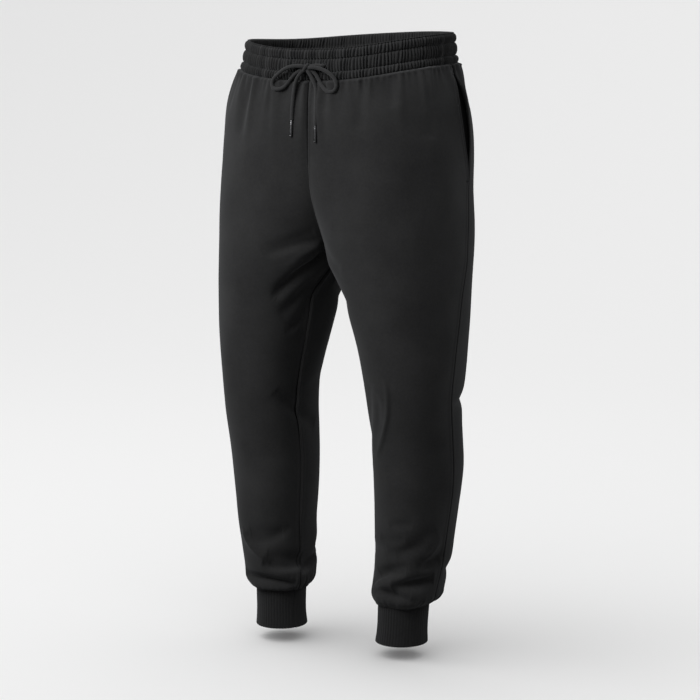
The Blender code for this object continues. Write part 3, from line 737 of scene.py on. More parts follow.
def ribbed(name, dark, light):
    """Rib knit: fine stitches on the modelled ribs."""
    made = matt(name, 0.93)
    rows = made.node(
        "TexWave", Vector=made.coordinates.outputs["UV"], Scale=190.0, Distortion=0.6,
        Detail=1.0, bands_direction="Y", wave_type="BANDS",
    ).outputs["Fac"]
    fine = made.noise(420, 4, 0.7)
    wide = made.noise(22, 3, 0.6)
    both = made.math("ADD", made.math("MULTIPLY", wide, 0.15), made.math("MULTIPLY", fine, 0.85))
    made.link(made.ramp(both, ((0.36, dark), (0.64, light))), "Base Color")
    soft = made.bump(fine, 0.25 * MM, 0.5)
    made.link(made.bump(rows, 0.2 * MM, 0.5, soft), "Normal")
    return made.material


def metal(name):
    """Dark plated metal, lightly brushed."""
    made = Nodes(name)
    made.set(Metallic=1.0)
    fine = made.noise(900, 3, 0.6)
    wide = made.noise(60, 2, 0.5)
    tint = made.ramp(wide, ((0.3, (0.05, 0.05, 0.052)), (0.7, (0.08, 0.08, 0.083))))
    brushed = made.ramp(fine, ((0.3, (0.20,) * 3), (0.7, (0.30,) * 3)))
    made.link(tint, "Base Color")
    made.link(brushed, "Roughness")
    made.link(made.bump(fine, 0.02 * MM, 0.3), "Normal")
    return made.material


def plain(name, seen, lit):
    """The floor and backdrop: one grey to look at, and a darker one for the light it gives."""
    made = Nodes(name)
    made.set(Roughness=0.9, Specular_IOR_Level=0.0)
    by_camera = made.node("LightPath").outputs["Is Camera Ray"]
    made.link(made.math("ADD", made.math("MULTIPLY", by_camera, seen - lit), lit), "Base Color")
    return made


FLEECE = fabric("fleece", (0.0062, 0.0062, 0.0063), (0.0113, 0.0113, 0.0114))
# The pocket's own jersey, with its colour darkened further by painted shade for the shade inside
# the pocket's mouth
JERSEY_PAINTED_SHADE = fabric("pocket_jersey", (0.0035, 0.0035, 0.0036), (0.006, 0.006, 0.0061), nap=0.25)
RIB = ribbed("rib_knit", (0.0042, 0.0042, 0.0043), (0.0076, 0.0076, 0.0077))
CORD_CLOTH = fabric("cord", (0.0085, 0.0085, 0.0087), (0.0165, 0.0165, 0.0167), nap=0.3)
THREAD = fabric("thread", (0.008, 0.008, 0.0082), (0.014, 0.014, 0.0142), nap=0.2, roughness=0.8)
METAL = metal("gunmetal")


# ---------------------------------------------------------------- camera and light



def placed(name, data, at, aim):
    """A camera or light that stands at a place and looks at another."""
    made = bpy.data.objects.new(name, data)
    made.location = at
    made.rotation_euler = (Vector(aim) - Vector(at)).to_track_quat("-Z", "Y").to_euler()
    bpy.context.scene.collection.objects.link(made)
    return made


camera = placed("camera", bpy.data.cameras.new("camera"), (1.638, -2.837, -0.116), (0, 0, -0.518))
camera.data.lens = 100
camera.data.sensor_width = 36
bpy.context.scene.camera = camera

AMBIENT = 0.68                 # the world's light
SIDED = 0.95                   # how much stronger it is from its bright side
BRIGHT_SIDE = Vector((-0.65, -0.45, 0.61)).normalized()
PALE = 0.82                    # how bright the world looks, as the backdrop does


def area_light(name, at, aim, size, power):
    """A round soft light."""
    light = bpy.data.lights.new(name, "AREA")
    light.shape = "DISK"
    light.size = size
    light.energy = power
    return placed(name, light, at, aim)


GARMENT = bpy.data.collections.new("garment")  # what the key light falls on
key = area_light("key", (-0.55, -1.6, 0.75), (0, -0.1, -0.4), 1.2, 70)
key.light_linking.receiver_collection = GARMENT
rim = area_light("rim", (1.15, 0.75, 0.35), (0.15, 0, -0.05), 0.5, 9)
rim.light_linking.receiver_collection = GARMENT
area_light("overhead", (-1.6, -0.6, 3.0), (0, 0, -1.0), 2.2, 20)

world = bpy.data.worlds.new("world")
world.use_nodes = True
sky = world.node_tree
background = sky.nodes["Background"]
background.inputs["Color"].default_value = (1, 1, 1, 1)
light_path = sky.nodes.new("ShaderNodeLightPath")
seen_or_not = sky.nodes.new("ShaderNodeMapRange")
sky_direction = sky.nodes.new("ShaderNodeTexCoord")
towards = sky.nodes.new("ShaderNodeVectorMath")
towards.operation = "DOT_PRODUCT"
towards.inputs[1].default_value = BRIGHT_SIDE
brightness = sky.nodes.new("ShaderNodeMath")
brightness.operation = "MULTIPLY_ADD"
brightness.inputs[1].default_value = AMBIENT * SIDED
brightness.inputs[2].default_value = AMBIENT
seen_or_not.inputs["To Max"].default_value = PALE
for output, socket in (
    (sky_direction.outputs["Generated"], towards.inputs[0]),
    (towards.outputs["Value"], brightness.inputs[0]),
    (brightness.outputs["Value"], seen_or_not.inputs["To Min"]),
    (light_path.outputs["Is Camera Ray"], seen_or_not.inputs["Value"]),
    (seen_or_not.outputs["Result"], background.inputs["Strength"]),
):
    sky.links.new(output, socket)
bpy.context.scene.world = world
bpy.context.scene.view_settings.view_transform = "Standard"

# The backdrop, in metres
FLOOR_LEVEL = -1.024
FLAT_RADIUS = 3.4
BOWL_RADIUS = 11.0
BOWL_HEIGHT = 2.2
BOWL_SIDES = 96


def backdrop():
    """A wide pale bowl: a flat floor that turns up far away."""
    flat = np.linspace(0.02, FLAT_RADIUS, 8)
    radius = np.concatenate([flat, np.linspace(FLAT_RADIUS + 0.2, BOWL_RADIUS, 22)])
    climb = np.clip(radius - FLAT_RADIUS, 0, None) / (BOWL_RADIUS - FLAT_RADIUS)
    height = FLOOR_LEVEL + BOWL_HEIGHT * climb**2
    angle = round_angles(BOWL_SIDES)
    x, y = radius[:, None] * np.cos(angle), radius[:, None] * np.sin(angle)
    vertices = np.stack(np.broadcast_arrays(x, y, height[:, None]), -1).reshape(-1, 3)
    grid = np.arange(len(vertices)).reshape(-1, BOWL_SIDES)
    faces = quads(around(grid)).tolist() + grid[:1].tolist()
    mesh = bpy.data.meshes.new("backdrop")
    mesh.from_pydata(vertices.tolist(), [], faces)
    mesh.shade_smooth()
    if mesh.polygons[0].normal.z < 0:
        mesh.flip_normals()
    finish = plain("backdrop", 0.88, 0.45)
    tree = finish.tree
    see_through = tree.nodes.new("ShaderNodeBsdfTransparent")
    mix = tree.nodes.new("ShaderNodeMixShader")
    geometry = tree.nodes.new("ShaderNodeNewGeometry")
    tree.links.new(geometry.outputs["Backfacing"], mix.inputs["Fac"])
    tree.links.new(finish.shader.outputs["BSDF"], mix.inputs[1])
    tree.links.new(see_through.outputs["BSDF"], mix.inputs[2])
    tree.links.new(mix.outputs["Shader"], tree.nodes["Material Output"].inputs["Surface"])
    mesh.materials.append(finish.material)
    made = bpy.data.objects.new("backdrop", mesh)
    bpy.context.scene.collection.objects.link(made)
    made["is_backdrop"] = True


backdrop()


# ---------------------------------------------------------------- the drawstring

ROUTE_POINTS = 3000
ROUTE_SMOOTHINGS = 40
CORD_STEP = 0.6 * MM
CORD_SIDES = 32
BRAID_STRANDS = 4
BRAID_PITCH = 4.4 * MM
BRAID_DEPTH = 0.34 * MM
AGLET_SIDES = 40
# distance from the aglet's axis, distance past the cord's end with a minus, in millimetres
AGLET_PROFILE = (
    (0.0, 0.3), (1.9, 0.3), (2.3, 0.1), (2.5, -0.4), (2.5, -1.6), (2.42, -1.9),
    (2.42, -2.3), (2.5, -2.6), (2.5, -8), (2.5, -14), (2.5, -20), (2.5, -23.2),
    (2.42, -23.5), (2.42, -23.9), (2.5, -24.2), (2.5, -25), (2.35, -25.6),
    (2.0, -26), (0.0, -26.1),
)
# The strand that wraps the knot, an upright loop
WRAP_DEPTH = 4.8 * MM
WRAP_HEIGHT = 4.7 * MM
WRAP_SWAY = 0.8 * MM
WRAP_RADIUS = 2.9 * MM
WRAP_LEAN = math.radians(28)
WRAP_POINTS = 60


def on_front(across, level, lift):
    """A point on the front of the body, and the direction out of it there."""
    side = "left" if across >= 0 else "right"
    levels = np.array([level])
    reach = Form(side, FRONT_TURNS[None, :], levels).at(0.0)[0]
    turns = np.array([[np.interp(abs(across), np.abs(reach[:, 0]), FRONT_TURNS)]])
    form = Form(side, turns, levels)
    here, out = form.at(0.0)[0, 0], form.at(CORD)[0, 0]
    out = (out - here) / np.linalg.norm(out - here)
    return here + out * lift, out


def facing(out):
    """The directions to the right and up on a surface whose direction out is given."""
    up = np.array([0, 0, 1.0]) - out * out[2]
    up /= np.linalg.norm(up)
    return np.cross(up, out), up


def route(places, step):
    """A smooth line through a cord's places, with points a step apart, and its length."""
    points = np.array([on_front(*(size * MM for size in row))[0] for row in places])
    length = distances(points)
    fine = curve(np.column_stack([length, points]), np.linspace(0, length[-1], ROUTE_POINTS))
    for _ in range(ROUTE_SMOOTHINGS):
        fine[1:-1] += 0.5 * ((fine[2:] + fine[:-2]) / 2 - fine[1:-1])
    length = distances(fine)
    along = np.linspace(0, length[-1], round(length[-1] / step) + 1)
    return np.column_stack([np.interp(along, length, fine[:, k]) for k in range(3)]), length[-1]


def braid(far, angle):
    """The raised crossings of a braided cord."""
    a = BRAID_STRANDS * angle + math.pi * far / BRAID_PITCH
    b = BRAID_STRANDS * angle - math.pi * far / BRAID_PITCH
    return BRAID_DEPTH * ((np.abs(np.sin(a)) * np.abs(np.sin(b))) ** 0.55 - 0.62)


def aglet_parts(end, along):
    """A metal tube crimped in two places, turned about the cord's line."""
    profile = np.array(AGLET_PROFILE) * MM
    angle = round_angles(AGLET_SIDES)[:, None]
    along = along / np.linalg.norm(along)
    first = np.cross(along, (0.1, 0.9, 0.2))
    first /= np.linalg.norm(first)
    second = np.cross(along, first)
    centres = end - along * profile[:, 1:]
    direction = np.cos(angle) * first + np.sin(angle) * second
    rings = centres[1:-1, None] + profile[1:-1, :1, None] * direction
    vertices, faces = capped(rings, centres[0], centres[-1])
    return vertices, faces, np.zeros((len(vertices), 2))


def drawstring():
    """Both cords with their metal ends, and the strand that wraps their knot."""
    for side, places in (("left", CORD_LEFT), ("right", CORD_RIGHT)):
        line, length = route(places, CORD_STEP)
        parts = tube(line, CORD / 2, CORD_SIDES, braid)
        string = joined("drawstring_" + side, [parts], CORD_CLOTH)
        end = joined(
            "aglet_tip_" + side,
            [aglet_parts(line[-1], line[-1] - line[-4])],
            METAL,
            sharp=math.radians(40),
        )
        other = "right" if side == "left" else "left"
        nodes = "string_lead_" + side, "string_loop_" + other, "string_tail_" + side
        fasten(string, "cord", *nodes)
        fasten(end, "gunmetal", "aglet_" + side)
        at, _ = on_front(EYELET_SPACING / 2 * (1 if side == "left" else -1), EYELET_LEVEL, 0.0)
        print("cord", side, "length", round(length, 4))

    # The strand that wraps the knot, slanting over its front
    centre, out = on_front(*(size * MM for size in KNOT_AT))
    right, up = facing(out)
    tall = up * math.cos(WRAP_LEAN) + right * math.sin(WRAP_LEAN)
    angle = round_angles(WRAP_POINTS)[:, None]
    ring = (
        centre
        + out * WRAP_DEPTH * np.cos(angle)
        + tall * WRAP_HEIGHT * np.sin(angle)
        + right * WRAP_SWAY * np.sin(2 * angle)
    )
    strand = tube(ring, WRAP_RADIUS, CORD_SIDES, braid, closed=True)
    fasten(joined("knot_wrap", [strand], CORD_CLOTH), "cord", "bow_knot")


drawstring()


# ---------------------------------------------------------------- the panels

EDGE_STEPS = np.array([0, 0.4, 0.9, 1.5, 2.2, 3.0, 4.0, 5.2, 6.6, 8.2, 10.0]) * MM
MIDDLE_COLUMNS = 138
ROW_STEP = 3.2 * MM
TOP_STEPS = np.array([0, 0.4, 0.9, 1.5, 2.3, 3.2, 4.3, 5.6, 7.0, 8.6, 10.4, 12.4]) * MM
TUCK_ROWS = 16
UNDERLAP = 1.2 * MM
WAIST_SEAM = -48.8 * MM
POCKET_SINK = 9 * MM
JERSEY_THICKNESS = 1.6 * MM

# Soft ridges that run down from the waist seam
# side, turn, drift in turn, length, width, height, in millimetres where not a turn
GATHER_RIDGES = []
rng = np.random.default_rng(7)
for ridge_side in SIDES:
    spot = 0.012
    while spot < 0.99:
        long = rng.random() < 0.28
        GATHER_RIDGES.append(
            (
                ridge_side,
                spot,
                rng.uniform(-0.012, 0.012),
                rng.uniform(38, 78) if long else rng.uniform(9, 24),
                rng.uniform(4.2, 6.5) if long else rng.uniform(2.9, 4.2),
                rng.uniform(3.8, 6.6) if long else rng.uniform(3.2, 6.2),
            )
        )
        spot += rng.uniform(0.013, 0.024)


def gathers(side, turns, levels, scale):
    """Puckers under the waist seam, in metres of lift."""
    below = np.maximum(WAIST_SEAM - levels, 0)[:, None]
    lift = np.zeros(turns.shape)
    rows = np.flatnonzero(below[:, 0] < 160 * MM)
    if not len(rows):
        return lift
    rows = slice(rows[0], rows[-1] + 1)
    near, deep = turns[rows], below[rows]
    total = np.zeros(near.shape)
    for ridge_side, spot, drift, length, width, height in GATHER_RIDGES:
        if ridge_side != side:
            continue
        length, width = length * MM, width * MM
        fade = np.exp(-((deep / length) ** 1.6))
        wide = width * (1 + 0.5 * deep / length)
        off = (near - spot - drift * deep / (60 * MM)) * scale[rows][:, None]
        total += height * MM * fade * hump(off, wide)
    total *= 0.3 + 0.7 * smoothstep(deep, 0, 5 * MM)
    lift[rows] = total - 0.9 * MM * np.exp(-deep / (25 * MM))
    return lift


# Wide, shallow unevenness of the cloth
# cycles round the half, cycles a metre down, phase, height in millimetres
SWELLS = (
    (3.2, 2.1, 0.4, 0.7),
    (5.1, -3.4, 1.9, 0.5),
    (2.3, 5.2, 3.1, 0.5),
    (7.4, 4.6, 0.9, 0.3),
    (4.2, -7.7, 2.6, 0.25),
)


def swells(side, turns, levels):
    """The cloth's unevenness, in metres of lift."""
    lift = np.zeros(turns.shape)
    shift = 0.0 if side == "left" else 1.7
    for round_half, down, phase, height in SWELLS:
        lift += height * MM * np.sin(
            2 * math.pi * (round_half * turns + down * levels[:, None]) + phase + shift
        )
    return lift


# Below the rim: where the leg end's puckers grow and fade, and where its hem rises
PUCKERS_GROW = (890 * MM, 935 * MM)
PUCKERS_FADE = (935 * MM, 946 * MM)
HEM_RISES = (939 * MM, 946 * MM)
HEM_RISE = 1.3 * MM
PUCKER_HEIGHT = 0.8 * MM


def blouse(side, turns, levels):
    """Puckers where the leg's end is gathered onto its cuff."""
    near = smoothstep(-levels, *PUCKERS_GROW) - 0.8 * smoothstep(-levels, *PUCKERS_FADE)
    phase = 0.0 if side == "left" else 2.0
    wave = np.sin(2 * math.pi * 24 * turns + phase + 1.3 * np.sin(2 * math.pi * 5 * turns))
    wave += 0.5 * np.sin(2 * math.pi * 41 * turns + 1.0)
    off_front = np.abs((turns - 0.25 + 0.5) % 1.0 - 0.5)
    share = 0.3 + 0.7 * smoothstep(off_front, 0.1, 0.3)
    hem = HEM_RISE * smoothstep(-levels, *HEM_RISES)
    return PUCKER_HEIGHT * near[:, None] * share * wave + hem[:, None]


def filled(panel, turns, levels):
    """How far the front's middle is filled out, in metres of lift."""
    if panel == "back":
        return np.zeros(turns.shape)
    start, _, scale = edges(panel, levels)
    away = (turns - start[:, None]) * scale[:, None]
    return curve(CENTRE_FILL, levels / MM) * MM * hump(away, CENTRE_WIDTH)


def seam_lift(away, ridge):
    """A seam's groove at its edge and the allowance's low ridge beside it, by distance."""
    near = away / MM
    allowance = ridge * smoothstep(near, 0.5, 1.7) * (1 - smoothstep(near, 6.0, 8.5))
    return (allowance - hump(near, 0.9) - 0.3 * hump(near - 6.0, 0.8)) * MM


def panel_detail(side, panel, turns, levels):
    """Everything the looks add to a panel's surface, in metres of lift."""
    start, end, scale = edges(panel, levels)
    from_start = (turns - start[:, None]) * scale[:, None]
    to_end = (end[:, None] - turns) * scale[:, None]
    down = np.maximum(WAIST_SEAM - levels, 0)[:, None]
    open_here = mouth(levels)[:, None]
    sewn = 1 - np.minimum(open_here * 3, 1)
    above = (levels > CROTCH_LEVEL)[:, None]
    lift = gathers(side, turns, levels, scale)
    lift = lift + swells(side, turns, levels) * smoothstep(down, 0, 40 * MM)
    lift = lift + blouse(side, turns, levels)
    # The centre's allowance lies on the wearer's left
    ridge = np.where(above, 1.3 if side == "left" else 0.4, 0.8)
    near_mouth, near_centre = (to_end, from_start) if panel == "front" else (from_start, to_end)
    lift = lift + seam_lift(near_centre, ridge) + seam_lift(near_mouth, 0.7) * sewn
    # The pocket's free edges stand out and roll over
    wide = 32 * MM if panel == "front" else 14 * MM
    tall = MOUTH_LIP if panel == "front" else 2 * MM
    lip = tall * open_here * np.clip(1 - near_mouth / wide, 0, 1) ** 1.5
    roll = -1.1 * hump(near_mouth, 1.3 * MM)
    for away, height in MOUTH_RIDGES if panel == "front" else ():
        roll = roll + height * hump(near_mouth / MM - away, 1.1)
    lift = lift + lip + roll * MM * (1 - sewn)
    return lift + (0.5 * hump(down - 3 * MM, 3 * MM) - hump(down, 1.4 * MM)) * MM


def columns_between(width, middle):
    """Distances across a panel: close together at both edges."""
    share = np.linspace(0, 1, middle + 2)[1:-1]
    width = width[:, None]
    inside = EDGE_STEPS[-1] + (width - 2 * EDGE_STEPS[-1]) * share
    left = np.tile(EDGE_STEPS, (len(width), 1))
    return np.concatenate([left, inside, width - EDGE_STEPS[::-1]], 1)


def panel_rows(step, top=True):
    """Levels down a panel, close together under the waist seam where top is true."""
    first = WAIST_SEAM - TOP_STEPS if top else np.array([WAIST_SEAM])
    rest = np.arange(first[-1] - step, BLOUSE_LEVEL + step * 0.5, -step)
    tuck = BLOUSE_LEVEL - TUCK_LENGTH * np.linspace(0, 1, TUCK_ROWS if top else 6)
    return np.concatenate([first, rest, tuck])


def panel_grid(kind, levels, middle):
    """A panel's turns at each level, and its UVs."""
    start, end, scale = edges(kind, levels)
    across = columns_between((end - start) * scale, middle)
    turns = start[:, None] + across / scale[:, None]
    return turns, uv_grid(across + (start * scale)[:, None], levels[:, None])


def panel(side, kind):
    """A front or back, from the waist seam down into its cuff."""
    levels = panel_rows(ROW_STEP)
    turns, uv = panel_grid(kind, levels, MIDDLE_COLUMNS)
    detail = panel_detail(side, kind, turns, levels)
    outer = Form(side, turns, levels).at(detail + filled(kind, turns, levels))
    under_levels = panel_rows(3 * ROW_STEP, top=False)
    under_turns, under_uv = panel_grid(kind, under_levels, MIDDLE_COLUMNS // 3)
    # The inside reaches a little past each seam, so that no light comes through
    reach = UNDERLAP / edges(kind, under_levels)[2]
    under_turns[:, 0] -= reach
    under_turns[:, -1] += reach
    under_detail = panel_detail(side, kind, under_turns, under_levels)
    thick = CLOTH + (1.0 * MM * mouth(under_levels)[:, None] if kind == "front" else 0.0)
    under_lift = np.minimum(under_detail, 0.6 * MM) + filled(kind, under_turns, under_levels)
    inner = Form(side, under_turns, under_levels).at(under_lift - thick, -UNDERLAP)
    made = wall(f"{kind}_panel_{side}", outer, inner, uv, under_uv, FLEECE)
    fasten(made, "fleece", f"{kind}_{side}")
    return made


def pocket(side):
    """The bag's layer against the body, which shows in the pocket's mouth."""
    levels = np.concatenate([np.arange(-48.8, -290, -4.0), [-290]]) * MM
    start, end, scale = edges("front", levels)
    back_start, back_end, _ = edges("back", levels)
    low = start + 0.5 * (end - start)
    high = back_start + 0.1 * (back_end - back_start)
    turns = low[:, None] + (high - low)[:, None] * np.linspace(0, 1, 70)
    uv = uv_grid(turns * 0.65, levels[:, None])
    form = Form(side, turns, levels)
    # It sinks away behind the front's free edge
    into_mouth = (turns - end[:, None]) * scale[:, None]
    past_back = (turns - back_start[:, None]) * scale[:, None]
    sunk = smoothstep(into_mouth, -24 * MM, -4 * MM) * (1 - smoothstep(past_back, 0, 16 * MM))
    sunk = sunk * mouth(levels)[:, None]
    ripple = 0.5 * MM * np.sin(2 * math.pi * (turns * 19 + levels[:, None] * 6)) - 0.5 * MM
    top = -CLOTH - SEAM + ripple - POCKET_SINK * sunk
    under = form.at(top - JERSEY_THICKNESS)
    # The jersey's darker colour is partly painted shade for the pocket's mouth
    made = wall("pocket_layer_" + side, form.at(top), under, uv, uv, JERSEY_PAINTED_SHADE)
    fasten(made, "pocket_jersey", "pocket_" + side)
    return made


PANELS = {(side, kind): panel(side, kind) for side in SIDES for kind in ("front", "back")}
POCKETS = {side: pocket(side) for side in SIDES}


# ---------------------------------------------------------------- the waistband

BAND_COLUMNS = 8               # for each gather
BAND_GATHERS = 184
GROOVES = (-14.8, -35.6)
BAND_ENDS = (0.0, -48.5)


def band_row(levels):
    """For each level the puffed row it is in, and its place in it from -1 to 1."""
    limits = np.array([BAND_ENDS[0], *GROOVES, BAND_ENDS[1]])
    at = levels / MM
    row = np.clip(np.searchsorted(-limits, -at, "right") - 1, 0, 2)
    middle = (limits[row] + limits[row + 1]) / 2
    half = (limits[row] - limits[row + 1]) / 2
    return row, (at - middle) / half


def gather_wave(spot, row, place_in_row):
    """The gathers' uneven height: round ridges above 0 and narrow creases below it."""
    circle = 2 * math.pi * spot / BAND_GATHERS
    shift = (0.0, 1.1, 2.3)
    wave = np.zeros(np.broadcast_shapes(spot.shape, row.shape))
    for k in range(3):
        warp = (
            0.11 * np.sin(43 * circle + 0.5 * shift[k])
            + 0.06 * np.sin(67 * circle + 1.7 + shift[k])
            + 0.15 * place_in_row * np.sin(23 * circle + shift[k])
        )
        height = (
            1 + 0.30 * np.sin(31 * circle + 0.7 + shift[k]) + 0.25 * np.sin(52 * circle + shift[k])
        )
        crease = np.abs(np.cos(math.pi * (spot - 0.25 + warp)))
        wave = np.where(row == k, height * (2 * crease**1.2 - 1.2), wave)
    return wave


def band_lift(spot, levels, inside=False):
    """The waistband's lift at each level (a column) and place round it (a row)."""
    row, at = band_row(levels)
    row, at = row[:, None], np.clip(at, -1, 1)[:, None]
    puff = (1 - np.abs(at) ** 2.8) ** 0.7
    share = 0.5 + 0.5 * (1 - np.abs(at) ** 2)
    wave = gather_wave(spot, row, at)
    if inside:
        return (-5.6 - 1.1 * puff + 1.2 * share * wave) * MM
    groove = np.where((row == 0) & (at < 0), 2.6, 4.0)
    return (-groove * (1 - puff) + 1.9 * share * wave) * MM


def band_levels(fine):
    """Levels down the band, closer together at its grooves and ends."""
    levels = []
    limits = [BAND_ENDS[0], *GROOVES, BAND_ENDS[1]]
    for top, end in zip(limits, limits[1:]):
        share = (1 - np.cos(np.linspace(0, math.pi, fine + 1))) / 2
        levels.append((top + (end - top) * share)[:-1])
    return np.concatenate(levels + [[BAND_ENDS[1]]]) * MM


def waistband():
    """Three gathered rows all round, outside and inside, with a rounded rim."""
    columns = BAND_GATHERS // 2 * BAND_COLUMNS
    share = (np.arange(columns) + 0.5) / columns
    spot = share * BAND_GATHERS / 2
    shoulder = np.array([(1.1, -2.7), (0.9, -2.2), (0.45, -1.95)]) * MM
    levels = np.concatenate([shoulder[:, 0], band_levels(11)])
    under = np.concatenate([[0.9 * MM, 0.4 * MM], band_levels(5)])

    def ring(levels, lift_left, lift_right):
        turns = np.tile(share, (len(levels), 1))
        left = Form("left", turns, levels).at(lift_left, 0.0)
        right = Form("right", turns, levels).at(lift_right, 0.0)
        return np.concatenate([left, right[:, ::-1]], 1)

    lifts = []
    for place_at in (spot, BAND_GATHERS - spot):
        outer = band_lift(place_at[None, :], levels)
        wave = outer[3] - outer[3].mean()
        for k, (_, lift) in enumerate(shoulder):
            outer[k] = lift + wave * (0.35, 0.6, 0.85)[k]
        inner = band_lift(place_at[None, :], under, inside=True)
        inner[0], inner[1] = -3.4 * MM + 0.3 * wave, -4.2 * MM + 0.3 * wave
        lifts.append((outer, inner))
    outer = ring(levels, lifts[0][0], lifts[1][0])
    inner = ring(under, lifts[0][1], lifts[1][1])
    round_it = np.concatenate([share * 0.48, 0.96 - share[::-1] * 0.48])
    outer_uv, inner_uv = (uv_grid(round_it, rows[:, None]) for rows in (levels, under))
    made = wall("waistband_cloth", outer, inner, outer_uv, inner_uv, FLEECE, ring=True)
    fasten(made, "fleece", "waistband")
    return made


BAND = waistband()


# ---------------------------------------------------------------- the cuffs

RIB_COLUMNS = 8                # for each rib
KNIT_DEPTH = 0.55 * MM
CUFF_SEAM = math.radians(207)


def cuff(side):
    """Rib knit, folded double at its lower end."""
    angle = round_angles(RIBS * RIB_COLUMNS)
    rib = np.abs(np.cos(angle * RIBS / 2)) ** 0.8
    wander = 0.25 * np.sin(3 * angle + 1) + 0.2 * np.sin(7 * angle)
    # Rows down the outside and the inside: height, and how far in from the outside, both in mm
    heights = np.concatenate([np.linspace(-931, -998.2, 30), [-999.0, -999.6, -999.95]])
    inset = np.concatenate([np.zeros(30), [0.2, 0.6, 1.3]])
    under_heights = np.array([-931, -945, -960, -975, -990, -997.5, -998.8, -999.7])
    under_inset = np.array([3, 3, 3, 3, 3, 2.9, 2.6, 2.1])

    def ring(heights, inset, depth):
        x, y, wide, deep = curve(CUFF_SECTIONS, heights).T * MM
        valley = depth * (1 - rib)[None, :] * (1 + wander)[None, :]
        off_seam = (angle - CUFF_SEAM + math.pi) % (2 * math.pi) - math.pi
        seam = 1.1 * MM * hump(off_seam, 0.03)
        pull = (inset * MM)[:, None] + valley + seam * (depth == KNIT_DEPTH)
        px = x[:, None] + (wide[:, None] - pull) * np.cos(angle)
        py = y[:, None] + (deep[:, None] - pull) * np.sin(angle)
        pz = np.repeat(heights[:, None] * MM, len(angle), 1)
        return np.stack([-px if side == "right" else px, py, pz], -1), uv_grid(angle * 0.0435, pz)

    outer, outer_uv = ring(heights, inset, KNIT_DEPTH)
    inner, inner_uv = ring(under_heights, under_inset, KNIT_DEPTH / 2)
    made = wall("cuff_knit_" + side, outer, inner, outer_uv, inner_uv, RIB, ring=True)
    fasten(made, "rib_knit", "cuff_" + side)
    return made


CUFFS = {side: cuff(side) for side in SIDES}


# ---------------------------------------------------------------- stitching

STITCH_PITCH = 3.0 * MM
STITCH_RADIUS = 0.28 * MM
# The four rings of a stitch: share of its length, width and rise as shares of its radius
STITCH_RINGS = ((0.0, 0.45, -0.5), (0.18, 1.0, 0.35), (0.82, 1.0, 0.35), (1.0, 0.45, -0.5))
SEAM_STITCHES = 6.0            # millimetres from the seam
MOUTH_STITCHES = (1.4, 5.4)    # millimetres from the pocket's edge
SEAM_RUN = (-53, -911)         # levels of the side seam's stitches, in millimetres
CENTRE_ENDS = {"front": -350, "back": -330}
MOUTH_RUN = (-66, -236)
BARTACKS = (-67, -230)
HEM_STITCHES = -941 * MM
HEM_POINTS = 140
EYELET_THREADS = 38
EYELET_POINTS = 48


def capsules(ends, out, radius):
    """Small four-sided stitches between pairs of points."""
    start, stop = ends[:, 0], ends[:, 1]
    along = stop - start
    length = np.linalg.norm(along, axis=1, keepdims=True)
    along = along / np.maximum(length, 1e-9)
    across = np.cross(along, out)
    across /= np.maximum(np.linalg.norm(across, axis=1, keepdims=True), 1e-9)
    up = np.cross(across, along)
    rings = []
    for share, width, rise in STITCH_RINGS:
        middle = start + (stop - start) * share + up * radius * rise
        corners = [
            middle + radius * width * (across * c + up * s)
            for c, s in ((1, 0), (0, 1), (-1, 0), (0, -1))
        ]
        rings.append(np.stack(corners, 1))
    vertices = np.stack(rings, 1).reshape(-1, 3)
    walls = quads(around(np.arange(16).reshape(4, 4)))[:, TURNED]
    block = np.concatenate([walls, [(3, 2, 1, 0), (12, 13, 14, 15)]])
    faces = (block + 16 * np.arange(len(start))[:, None, None]).reshape(-1, 4)
    return vertices, [faces], np.zeros((len(vertices), 2))


def stitch_line(side, kind, turns, levels):
    """Stitches along a line of turns and levels on a panel's own surface."""
    turns = turns[:, None]
    detail = panel_detail(side, kind, turns, levels) + filled(kind, turns, levels)
    form = Form(side, turns, levels)
    line = form.at(detail + 0.1 * MM)[:, 0]
    above = form.at(detail + 1 * MM)[:, 0]
    return along_line(line, above - line, 2.1 * MM)


def along_line(line, out, length):
    """Stitches of one length along a line, given the direction out at each of its points."""
    far = distances(line)
    count = max(int(far[-1] / STITCH_PITCH), 1)
    starts = np.arange(count) * STITCH_PITCH

    def read(at, values):
        return np.column_stack([np.interp(at, far, values[:, k]) for k in range(3)])

    ends = np.stack([read(starts, line), read(starts + length, line)], 1)
    direction = read(starts + 0.5 * length, out)
    direction /= np.linalg.norm(direction, axis=1, keepdims=True)
    return capsules(ends, direction, STITCH_RADIUS)


def bartack(side, level):
    """Close stitches across an end of the pocket's mouth."""
    levels = np.array([level + 1.2 * MM, level - 1.2 * MM])
    _, last, scale = edges("front", levels)
    turns = last[:, None] - np.arange(0.5, 10, 0.6) * MM / scale[:, None]
    detail = panel_detail(side, "front", turns, levels)
    form = Form(side, turns, levels)
    line = form.at(detail + 0.25 * MM)
    out = form.at(detail + 1.2 * MM)[0] - line[0]
    out /= np.linalg.norm(out, axis=1, keepdims=True)
    return capsules(np.stack([line[0], line[1]], 1), out, 0.33 * MM)


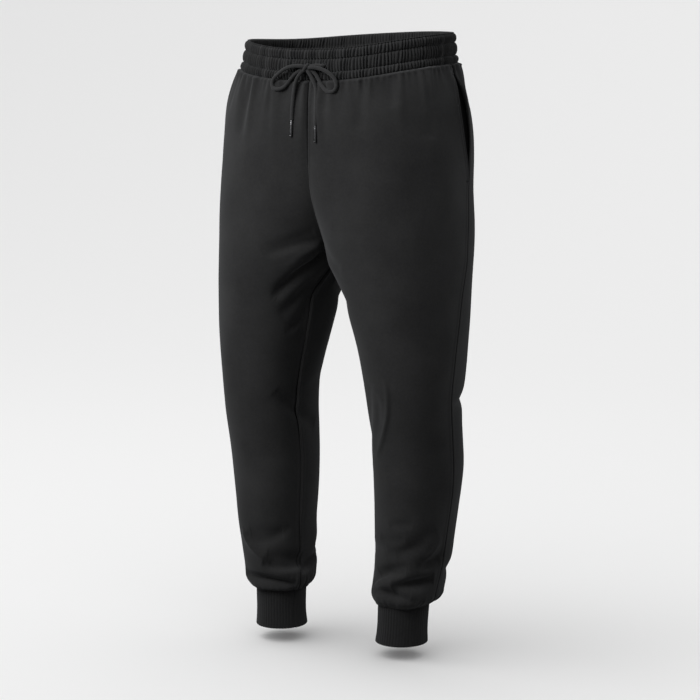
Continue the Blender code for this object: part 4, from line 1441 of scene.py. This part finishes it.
def seam_stitches():
    """Topstitching beside each seam, and the two lines round each pocket's mouth."""
    for side in SIDES:
        parts = []
        fine = np.arange(*SEAM_RUN, -1.5) * MM
        centre, at_start = ("front", True) if side == "right" else ("back", False)
        runs = (centre, at_start, CENTRE_ENDS[centre]), ("back", True, SEAM_RUN[1])
        for kind, at_start, lowest in runs:
            levels = fine[fine >= lowest * MM]
            start, last, scale = edges(kind, levels)
            away = SEAM_STITCHES * MM / scale
            parts.append(stitch_line(side, kind, start + away if at_start else last - away, levels))
        levels = np.arange(*MOUTH_RUN, -1.5) * MM
        _, last, scale = edges("front", levels)
        for away in MOUTH_STITCHES:
            parts.append(stitch_line(side, "front", last - away * MM / scale, levels))
        parts += [bartack(side, level * MM) for level in BARTACKS]
        for kind in ("front", "back"):
            levels = np.full(HEM_POINTS, HEM_STITCHES)
            start, last, scale = edges(kind, levels)
            turns = start + (last - start) * np.linspace(0.005, 0.995, HEM_POINTS)
            parts.append(stitch_line(side, kind, turns, levels))
        fasten(joined("seam_stitches_" + side, parts, THREAD), "thread")


def band_stitches():
    """A line of stitches in each of the waistband's grooves."""
    columns = 1200
    share = (np.arange(columns) + 0.5) / columns
    parts = []
    for groove in GROOVES:
        levels = np.array([groove * MM])
        lines = []
        for side in SIDES:
            half = BAND_GATHERS / 2
            spot = share * half if side == "left" else 2 * half - share * half
            form = Form(side, share[None, :], levels)
            lift = band_lift(spot[None, :], levels)
            line = form.at(lift + 0.15 * MM, 0.0)[0]
            above = form.at(lift + 1 * MM, 0.0)[0]
            lines.append(np.stack([line, above - line]))
        line, out = np.concatenate([lines[0], lines[1][:, ::-1]], 1)
        parts.append(along_line(line, out, 2.2 * MM))
    fasten(joined("band_stitches", parts, THREAD), "thread")


def eyelets():
    """A ring with short radial threads over it, round each place where a cord comes out."""

    def circle(count, right, up):
        angle = round_angles(count)[:, None]
        return np.cos(angle) * right + np.sin(angle) * up

    for side in SIDES:
        sign = 1 if side == "left" else -1
        at, out = on_front(sign * EYELET_SPACING / 2, EYELET_LEVEL, 1.3 * MM)
        right, up = facing(out)
        direction = circle(EYELET_THREADS, right, up)
        ends = np.stack([at + direction * 3.3 * MM, at + direction * 5.6 * MM], 1)
        threads = capsules(ends, np.tile(out, (EYELET_THREADS, 1)), 0.42 * MM)
        ring = at + 4.4 * MM * circle(EYELET_POINTS, right, up) - out * 0.3 * MM
        parts = [threads, tube(ring, 0.8 * MM, 12, closed=True)]
        fasten(joined("eyelet_rim_" + side, parts, THREAD), "thread", "eyelet_" + side)


seam_stitches()
band_stitches()
eyelets()


# ---------------------------------------------------------------- what the key and rim lights fall on

for made in bpy.context.scene.collection.objects:
    if made.type == "MESH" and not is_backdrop(made):
        GARMENT.objects.link(made)
